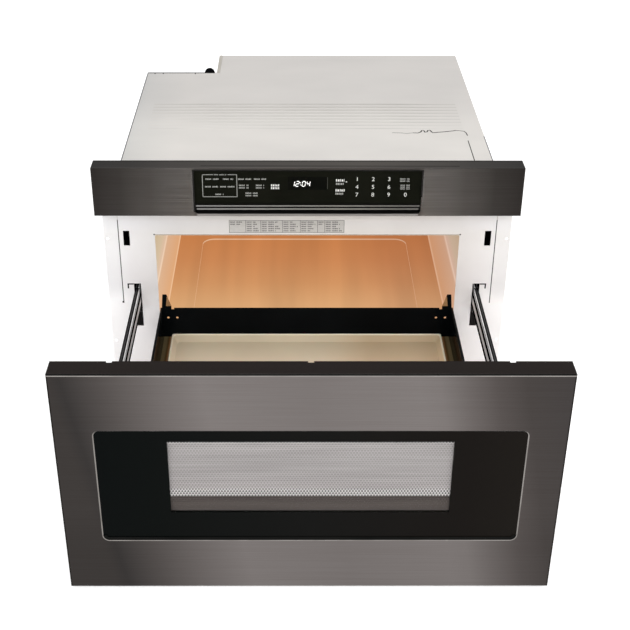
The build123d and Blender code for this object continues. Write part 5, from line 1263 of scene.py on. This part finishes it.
sheet_light_and_shade = colour_ramp(tree, parts["Z"], [
    (110, "#615a57"), (144.6, "#554e4b"), (144.9, "#e8e4e3"), (153, "#dcd8d7"), (158, "#b4afae"),
    (190, "#aba7a6"), (223, "#b2aead"), (225.5, "#dad6d5"), (231, "#e1dddc")])
behind = colour_ramp(tree, parts["Z"], [
    (110, "#5e5755"), (132, "#554e4b"), (144.6, "#37312e"), (144.9, "#020202"), (152, "#0b0a0a"),
    (158, "#928d8c"), (190, "#9e9998"), (223, "#999493"), (225.5, "#2b2827"), (231, "#1c1a19")])
mesh_colour = add(tree, "Mix", {"data_type": "RGBA"}, {
    0: hole.outputs[0], 6: sheet_light_and_shade, 7: behind})
banded = add(tree, "Mix", {"data_type": "RGBA", "blend_type": "MULTIPLY"}, {
    0: 1.0, 6: mesh_colour.outputs[2], 7: sheet_colour})
tree.links.new(banded.outputs[2], shader.inputs["Base Color"])
dress(screen, "window_screen")

# ---------------------------------------------------------------- basket
# The drawer's basket is spot-welded steel sheet under fired porcelain enamel: glossy black
# walls, and a brown floor pan that shows as a ledge. The rear wall has an ear at each end.

enamel_black = finish(
    "porcelain_enamel_fired", "#07090b", "#0c0f11", (90, 90, 90), (0.07, 0.12), relief=0.02,
    Specular_IOR_Level=0.03)
dress(enamel_black, "basket_side_walls", "basket_rear_wall")

# The ears' glaze catches the lit cavity: a brown gleam on the inner part of each front.
ear_gleam = finish(
    "porcelain_enamel_amber_gleam", "#94704c", "#ab835c", (6, 6, 6), (0.15, 0.25),
    Specular_IOR_Level=0.1)
ear_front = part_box("basket_rear_wall")[0].y / MM
gleam_rise = 0.05
gleams = []
for side in (-1, 1):
    corners = [(side * x, z) for x, z in (
        (209.6, 187.9), (208.4, 187.4), (203.2, 171.7), (211.6, 171.7))]
    gleams.append(prism(corners if side > 0 else corners[::-1],
                        ear_front - gleam_rise, ear_front, axis=1))
piece("ear_gleams", merged(gleams), ear_gleam, "drawer")
# Brown enamel: the ledge takes the amber light on its inner side and dulls outwards.
enamel_brown = shade_along(finish(
    "porcelain_enamel_brown", "#e4e1db", "#ffffff", (90, 140, 110), (0.1, 0.2),
    Specular_IOR_Level=0.12),
    "X", [(0, "#8a6a4c"), (204.5, "#c8a078"), (206.8, "#b98a60"), (208.2, "#765231"),
          (209.6, "#5e4a2e"), (212.5, "#74664a"), (216.5, "#6f6348")], True)
dress(enamel_brown, "floor_pan")

# ---------------------------------------------------------------- tray
# The tray lies loose in the floor pan: cast glass ceramic, slightly milky beige and glossy, with a
# raised sloped rim.

# Its colour is painted light and shade: darker on the lower part of its sloped walls, with a bright
# highlight line above that; on its floor lighter towards the front and darker towards the back, and
# a little darker on its right half. Its rim is paler on top.
tray_ceramic = shade_along(finish(
    "glass_ceramic_cast", "#f0efee", "#ffffff", (140, 190, 60), (0.16, 0.28),
    Specular_IOR_Level=0.2, Subsurface_Weight=0.1, Subsurface_Scale=0.004),
    "Z", [(107, "#a89a7e"), (114.4, "#ab9d80"), (114.9, "#efe4ca"), (115.6, "#d6c9aa"),
          (120.8, "#d9cdaf"), (122.2, "#fbf2da")],
    top=("Y", [(-664, "#ffeed6"), (-420, "#fbe9d0"), (-345, "#eedcc2"), (-300, "#d6c6ab"),
               (-289, "#d3c4a9")], False))
tray_ceramic = shade_along(
    tray_ceramic, "X", [(-204, "#ffffff"), (20, "#ffffff"), (90, "#f3e9df"), (204, "#f6ece0")])
rim_low, rim_high = 121.4, 122.6
tree, shader, body_colour, place = opened(tray_ceramic)
parts = add(tree, "SeparateXYZ", None, {0: place}).outputs
rim = add(tree, "MapRange", {"interpolation_type": "SMOOTHSTEP"}, {
    "Value": parts["Z"], "From Min": rim_low * MM, "From Max": rim_high * MM})
toned = add(tree, "Mix", {"data_type": "RGBA"}, {
    0: rim.outputs[0], 6: body_colour, 7: linear("#f6ead2")})
tree.links.new(toned.outputs[2], shader.inputs["Base Color"])
dress(tray_ceramic, "glass_tray")
